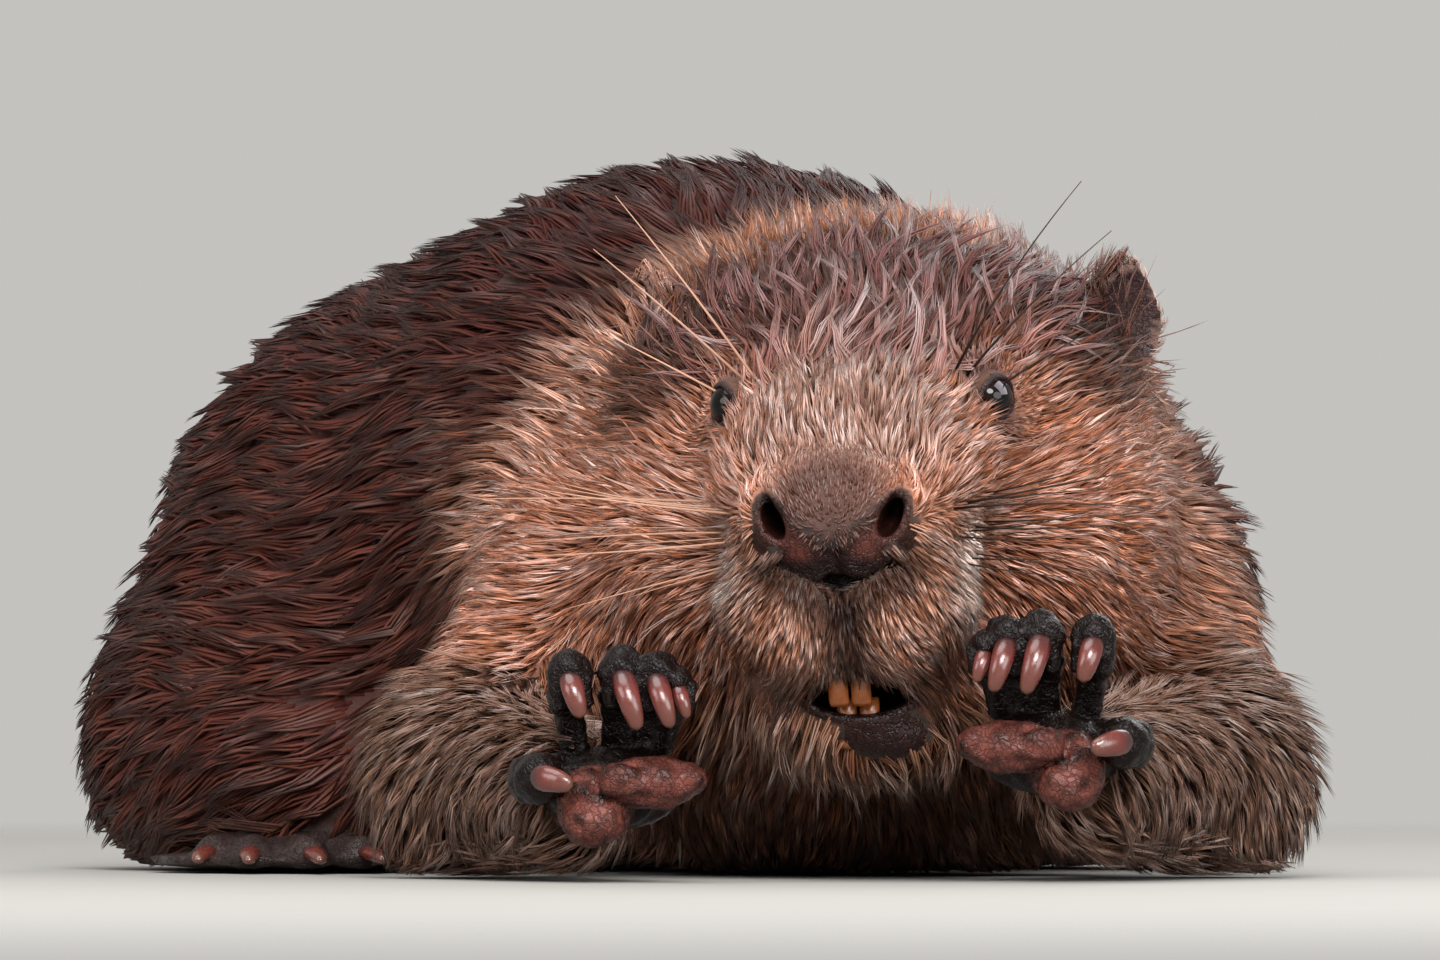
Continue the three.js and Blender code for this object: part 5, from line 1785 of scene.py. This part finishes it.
PUPIL = (0.002, 0.002, 0.002)


def eye_material():
    material, tree, main = shader("eye")
    rings = graded(tree, stored(tree, "off_axis", "Fac"), (0.26, PUPIL), (0.62, colour("iris")))
    fibres = tinted(tree, rings, noise(tree, object_coordinates(tree), 1400, 4), 0.5, 1.5)
    tree.links.new(fibres, main.inputs["Base Color"])
    finished(main, Roughness=0.03, Specular_IOR_Level=0.2)
    return material


def claw_material():
    material, tree, main = shader("claw")
    stops = ((0.04, colour("claw_root")), (0.42, colour("claw")), (1.0, colour("claw_tip")))
    horn = graded(tree, stored(tree, "along", "Fac"), *stops)
    grain = noise(tree, object_coordinates(tree), 520, 4)
    base = tinted(tree, horn, grain, 0.8, 1.2)
    tree.links.new(base, main.inputs["Base Color"])
    tree.links.new(spread(tree, grain, 0.16, 0.34), main.inputs["Roughness"])
    finished(main, Coat_Weight=0.16, Coat_Roughness=0.16, Subsurface_Weight=0.12)
    finished(main, Subsurface_Radius=(0.004, 0.002, 0.001))
    bumped(tree, main, grain, 0.0002, 0.6)
    return material


def whisker_material():
    material, tree, main = shader("whisker")
    along = stored(tree, "along", "Fac")
    hair = graded(tree, along, (0, colour("whisker")), (1, colour("whisker_tip")))
    tree.links.new(hair, main.inputs["Base Color"])
    finished(main, Roughness=0.35, Specular_IOR_Level=0.12)
    return material


FLOOR_FADE = (0.55, 1.9)  # from the middle of the floor, in metres


def floor_material():
    material, tree, main = shader("pale floor")
    place = object_coordinates(tree)
    base = add_node(tree, "ShaderNodeRGB")
    base.outputs[0].default_value = (*colour("floor"), 1)
    pale = tinted(tree, base.outputs[0], noise(tree, place, 9, 3), 0.985, 1.015)
    tree.links.new(pale, main.inputs["Base Color"])
    tree.links.new(spread(tree, noise(tree, place, 30), 0.6, 0.75), main.inputs["Roughness"])
    # far out, the floor melts into the light all round
    distance = add_node(tree, "ShaderNodeVectorMath", operation="LENGTH")
    tree.links.new(place, distance.inputs[0])
    fade = add_node(tree, "ShaderNodeMapRange", interpolation_type="SMOOTHSTEP")
    fade.inputs["From Min"].default_value, fade.inputs["From Max"].default_value = FLOOR_FADE
    tree.links.new(distance.outputs["Value"], fade.inputs["Value"])
    clear = add_node(tree, "ShaderNodeBsdfTransparent")
    blend = add_node(tree, "ShaderNodeMixShader")
    tree.links.new(fade.outputs["Result"], blend.inputs["Fac"])
    tree.links.new(main.outputs["BSDF"], blend.inputs[1])
    tree.links.new(clear.outputs["BSDF"], blend.inputs[2])
    output = tree.nodes["Material Output"]
    tree.links.new(blend.outputs[0], output.inputs["Surface"])
    return material


# ------------------------------------------------------------------ the stage
CAMERA_HEIGHT = 60.0
AIM_HEIGHT = 118.5
SENSOR_WIDTH = 36
FARTHEST_SEEN = 200  # in metres
LIGHT_AIM = (0, 150, 100)
EYE_LIGHT_AIM = (90, 75, 155)
EYE_LIGHT_AT = (850, -80, 760)
EYE_LIGHT_SIZE = 0.95
# Each light's place in mm, its size in metres and the setting that holds its power.
LIGHTS = {
    "top light": ((-500, -300, 1900), 1.6, "top_power"),
    "front light": ((250, -2300, 1500), 1.2, "front_power"),
    "side light": ((-1700, -1300, 900), 1.3, "side_power"),
    "fill light": ((1500, -1900, 500), 1.6, "fill_power"),
    "rim light": ((700, 1700, 1300), 1.2, "rim_power"),
}


def build_stage():
    settings = bpy.context.scene.beaver_stage
    reach = settings.floor_reach
    corners = [(-reach, -reach, 0), (reach, -reach, 0), (reach, reach, 0), (-reach, reach, 0)]
    mesh = bpy.data.meshes.new("floor")
    mesh.from_pydata(corners, [], [(0, 1, 2, 3)])
    mesh.materials.append(floor_material())
    floor = bpy.data.objects.new("floor", mesh)
    bpy.context.scene.collection.objects.link(floor)

    world = bpy.data.worlds.new("studio")
    world.use_nodes = True
    sky = world.node_tree.nodes["Background"]
    sky.inputs["Color"].default_value = (*colour("studio"), 1)
    sky.inputs["Strength"].default_value = settings.sky_strength
    bpy.context.scene.world = world
    bpy.context.scene.view_settings.view_transform = "Standard"

    camera = bpy.data.cameras.new("camera")
    camera.lens = settings.lens
    camera.sensor_width = SENSOR_WIDTH
    camera.clip_end = FARTHEST_SEEN
    eye = Vector(to_row([(0, -settings.camera_distance / MM, CAMERA_HEIGHT)])[0])
    aim = Vector(to_row([(0, 0, AIM_HEIGHT)])[0])
    holder = bpy.data.objects.new("camera", camera)
    holder.location = eye
    holder.rotation_euler = (aim - eye).to_track_quat("-Z", "Y").to_euler()
    bpy.context.scene.collection.objects.link(holder)
    bpy.context.scene.camera = holder

    for name, (place, size, power) in LIGHTS.items():
        add_lamp(name, place, size, getattr(settings, power), "DISK", LIGHT_AIM)


def add_lamp(name, place, size, power, shape, aim):
    """An area light at one place of the layout, facing another; places in mm, its size in metres."""
    light = bpy.data.lights.new(name, "AREA")
    light.shape, light.size, light.energy = shape, size, power
    lamp = bpy.data.objects.new(name, light)
    lamp.location = Vector(to_row([place])[0])
    target = Vector(to_row([aim])[0])
    lamp.rotation_euler = (target - lamp.location).to_track_quat("-Z", "Y").to_euler()
    bpy.context.scene.collection.objects.link(lamp)
    return lamp


def light_the_eyes(power):
    """A large soft lamp above and beside the head that only the eyes catch."""
    lamp = add_lamp("eye light", EYE_LIGHT_AT, EYE_LIGHT_SIZE, power, "SQUARE", EYE_LIGHT_AIM)
    lamp.data.color = colour("eye_light")
    eyes = bpy.data.collections.new("lit by the eye light")
    for side in SIDES:
        eyes.objects.link(bpy.data.objects[f"eyeball_{side}"])
    lamp.light_linking.receiver_collection = eyes


# ------------------------------------------------------------------ settings
def srgb(red, green, blue):
    """A colour given in the usual 0 to 255 steps, in linear light."""
    return tuple(
        (c / 255 / 12.92) if c / 255 <= 0.04045 else ((c / 255 + 0.055) / 1.055) ** 2.4
        for c in (red, green, blue)
    )


def length_property(name, description, default):
    return FloatProperty(name=name, description=description, default=default, min=0)


def colour_property(name, description, default):
    return FloatVectorProperty(
        name=name, description=description, default=default, size=3, subtype="COLOR", min=0, max=1
    )


class BeaverBody(PropertyGroup):
    """How the skin is made."""

    face_depth: length_property("Face coat depth", "Coat over the skin of the head, in mm", 6.0)
    trunk_depth: length_property("Trunk coat depth", "Coat over the skin of the trunk, in mm", 10.0)
    floor_gap: length_property("Floor gap", "Height of the flesh over the floor, in mm", 1.5)
    fine_step: length_property("Fine step", "Lattice step over the face and paws, in mm", 1.3)
    middling_step: length_property("Middling step", "Lattice step beside them, in mm", 2.25)
    coarse_step: length_property("Coarse step", "Lattice step over the trunk, in mm", 6.0)
    skin_triangles: IntProperty(name="Skin triangles", description="At most", default=198000, min=1000)


class BeaverCoat(PropertyGroup):
    """How the locks of the coat are made."""

    face_spacing: length_property("Face spacing", "Between the locks of the face, in mm", 2.65)
    face_length: length_property("Face length", "Of a lock on the face, in mm", 13.0)
    trunk_spacing: length_property("Trunk spacing", "Between the locks of the trunk, in mm", 8.3)
    trunk_length: length_property("Trunk length", "Of a lock on the trunk, in mm", 30.0)


class BeaverDetails(PropertyGroup):
    """Whiskers and scales."""

    whisker_count: IntProperty(name="Whiskers", description="On each side of the muzzle", default=11, min=0)
    whisker_length: length_property("Whisker length", "Of the longest, in mm", 88.0)
    scale_size: length_property("Scale size", "Width of one scale of the tail, in mm", 5.2)


class BeaverColours(PropertyGroup):
    """The colours of the coat, bare skin, claws and stage."""

    flank: colour_property("Flank", "Wet fur of the flank", srgb(82, 35, 22))
    back: colour_property("Back", "Fur along the back", srgb(58, 16, 10))
    belly: colour_property("Belly", "Fur of the underside", srgb(70, 42, 29))
    neck: colour_property("Neck", "Ruff behind the cheeks", srgb(223, 161, 133))
    cheek: colour_property("Cheek", "Fur of the cheeks", srgb(214, 144, 114))
    nape: colour_property("Nape", "Fringe at the nape", srgb(186, 117, 80))
    crown: colour_property("Crown", "Dark fur under the wet locks of the crown", srgb(51, 20, 15))
    brow: colour_property("Brow", "Grey-tan fur between the eyes", srgb(134, 95, 84))
    temple: colour_property("Temple", "Dark fur beside and round the eyes", srgb(54, 25, 17))
    bridge: colour_property("Bridge", "Fur over the nose", srgb(172, 134, 120))
    muzzle: colour_property("Muzzle", "Short fur of the upper lip", srgb(176, 125, 102))
    # pale fur of the muzzle's corners, laid stronger on the left side as painted light
    muzzle_pale_and_lit: colour_property("Pale muzzle", "Corners of the muzzle", srgb(243, 209, 194))
    # painted shade along the fold round the muzzle
    shaded_fold: colour_property("Fold", "Dark fur in the fold round the muzzle", srgb(64, 37, 27))
    # the lip's own dark colour, also laid as painted shade under the nose, in the philtrum and above the
    # mouth
    lip: colour_property("Lip", "Dark middle and edge of the upper lip", srgb(47, 26, 19))
    chin: colour_property("Chin", "Fur of the chin and throat", srgb(109, 70, 50))
    forearm: colour_property("Forearm", "Spiky wet fur of the forearm", srgb(97, 54, 42))
    guard: colour_property("Guard hair", "Rusty guard hairs", srgb(116, 62, 40))
    bare_skin: colour_property("Bare skin", "Toes and lips", srgb(12, 4, 3))
    nose: colour_property("Nose", "Nose pad", srgb(34, 15, 13))
    nose_fur: colour_property("Nose fur", "Fine hair on top of the nose", srgb(88, 59, 53))
    lower_lip: colour_property("Lower lip", "Dark skin of the lower lip", srgb(29, 13, 11))
    # near black: painted shade in the nostrils, the mouth, the fold under the nose and the lower part of
    # the nose pad
    nostril: colour_property("Nostril", "Inside of nostrils and mouth", srgb(13, 5, 4))
    pad: colour_property("Pad", "Pads of the forepaws", srgb(100, 54, 46))
    foot: colour_property("Foot", "Hind feet", srgb(45, 35, 33))
    tail: colour_property("Tail", "Scaly tail", srgb(37, 30, 27))
    ear: colour_property("Ear", "Inside of the ear", srgb(53, 37, 37))
    ear_rim: colour_property("Ear rim", "Fine hair on the rim of the ear", srgb(161, 122, 108))
    wet_lock: colour_property("Wet lock", "Pale wet locks of the forehead", srgb(141, 98, 96))
    pale_tip: colour_property("Pale tip", "Pale tips on forearm and chin", srgb(168, 135, 115))
    nostril_rim: colour_property("Nostril rim", "Reddish bulges beside the nostrils", srgb(80, 42, 35))
    tooth: colour_property("Tooth", "Orange enamel of the incisors", srgb(125, 67, 29))
    lid: colour_property("Lid", "Rim of the eyelids", srgb(41, 28, 31))
    iris: colour_property("Iris", "Dark brown iris", srgb(21, 10, 7))
    claw: colour_property("Claw", "Middle of a claw", srgb(86, 34, 29))
    claw_root: colour_property("Claw root", "Dark root of a claw", srgb(21, 11, 12))
    claw_tip: colour_property("Claw tip", "Pale tip of a claw", srgb(83, 47, 37))
    whisker: colour_property("Whisker", "Root of a whisker", srgb(16, 7, 5))
    whisker_tip: colour_property("Whisker tip", "Tip of a whisker", srgb(166, 126, 105))
    eye_light: colour_property("Eye light", "What the eyes catch", srgb(228, 214, 226))
    floor: colour_property("Floor", "Pale studio floor", srgb(143, 141, 137))
    studio: colour_property("Studio", "Light all round", srgb(224, 222, 218))


class BeaverStage(PropertyGroup):
    """Camera and lights."""

    floor_reach: FloatProperty(name="Floor reach", description="From its middle", default=12, unit="LENGTH")
    camera_distance: FloatProperty(
        name="Camera distance", description="From the nose", default=5.0, min=1, unit="LENGTH"
    )
    lens: FloatProperty(name="Lens", description="Focal length in mm", default=425.0, min=20)
    sky_strength: FloatProperty(name="Sky", description="Strength of the light all round", default=0.74)
    top_power: FloatProperty(name="Top light", description="Power in watts", default=31.0)
    front_power: FloatProperty(name="Front light", description="Power in watts", default=104.0)
    side_power: FloatProperty(name="Side light", description="Power in watts", default=24.0)
    fill_power: FloatProperty(name="Fill light", description="Power in watts", default=42.0)
    rim_power: FloatProperty(name="Rim light", description="Power in watts", default=16.0)
    eye_power: FloatProperty(name="Eye light", description="Power in watts", default=52.0)


# ------------------------------------------------------------------ operators and panel
class BEAVER_OT_skin(Operator):
    """Make the one skin that covers the whole body"""

    bl_idname = "beaver.skin"
    bl_label = "Skin"

    def execute(self, context):
        build_skin()
        return {"FINISHED"}


class BEAVER_OT_coat(Operator):
    """Grow the wet locks of the coat over the skin"""

    bl_idname = "beaver.coat"
    bl_label = "Coat"

    def execute(self, context):
        build_coat()
        return {"FINISHED"}


class BEAVER_OT_eyes(Operator):
    """Set the glossy eyeballs"""

    bl_idname = "beaver.eyes"
    bl_label = "Eyes"

    def execute(self, context):
        build_eyes()
        return {"FINISHED"}


class BEAVER_OT_claws(Operator):
    """Shape the claws of all four feet"""

    bl_idname = "beaver.claws"
    bl_label = "Claws"

    def execute(self, context):
        build_claws()
        return {"FINISHED"}


class BEAVER_OT_incisors(Operator):
    """Set the four orange front teeth"""

    bl_idname = "beaver.incisors"
    bl_label = "Incisors"

    def execute(self, context):
        build_incisors()
        return {"FINISHED"}


class BEAVER_OT_whiskers(Operator):
    """Set the whiskers of the muzzle and brow"""

    bl_idname = "beaver.whiskers"
    bl_label = "Whiskers"

    def execute(self, context):
        build_whiskers()
        return {"FINISHED"}


class BEAVER_OT_tail_scales(Operator):
    """Lay the scales of the tail"""

    bl_idname = "beaver.tail_scales"
    bl_label = "Tail scales"

    def execute(self, context):
        build_tail_scales()
        return {"FINISHED"}


class BEAVER_OT_stage(Operator):
    """Set the floor, lights and camera"""

    bl_idname = "beaver.stage"
    bl_label = "Stage"

    def execute(self, context):
        build_stage()
        return {"FINISHED"}


class BEAVER_PT_panel(Panel):
    """Lists the pieces of the beaver and their settings"""

    bl_idname = "BEAVER_PT_panel"
    bl_label = "Beaver"
    bl_space_type = "VIEW_3D"
    bl_region_type = "UI"
    bl_category = "Beaver"

    def draw(self, context):
        for operator in OPERATORS:
            self.layout.operator(operator.bl_idname)
        for name in GROUPS:
            box = self.layout.box()
            settings = getattr(context.scene, name)
            box.label(text=name.replace("_", " ").title())
            for key in settings.__annotations__:
                box.prop(settings, key)


GROUPS = {
    "beaver_body": BeaverBody,
    "beaver_coat": BeaverCoat,
    "beaver_details": BeaverDetails,
    "beaver_colours": BeaverColours,
    "beaver_stage": BeaverStage,
}
OPERATORS = (
    BEAVER_OT_stage,
    BEAVER_OT_skin,
    BEAVER_OT_eyes,
    BEAVER_OT_claws,
    BEAVER_OT_coat,
    BEAVER_OT_incisors,
    BEAVER_OT_whiskers,
    BEAVER_OT_tail_scales,
)


def register():
    for group in GROUPS.values():
        bpy.utils.register_class(group)
    for operator in OPERATORS:
        bpy.utils.register_class(operator)
    bpy.utils.register_class(BEAVER_PT_panel)
    for name, group in GROUPS.items():
        setattr(bpy.types.Scene, name, PointerProperty(type=group))


def unregister():
    for name in GROUPS:
        delattr(bpy.types.Scene, name)
    for kept in (BEAVER_PT_panel, *OPERATORS, *GROUPS.values()):
        bpy.utils.unregister_class(kept)


def main():
    register()
    bpy.ops.beaver.stage()
    bpy.ops.beaver.skin()
    bpy.ops.beaver.eyes()
    bpy.ops.beaver.claws()
    bpy.ops.beaver.coat()
    bpy.ops.beaver.incisors()
    bpy.ops.beaver.whiskers()
    bpy.ops.beaver.tail_scales()
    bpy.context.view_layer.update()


if __name__ == "__main__":
    main()
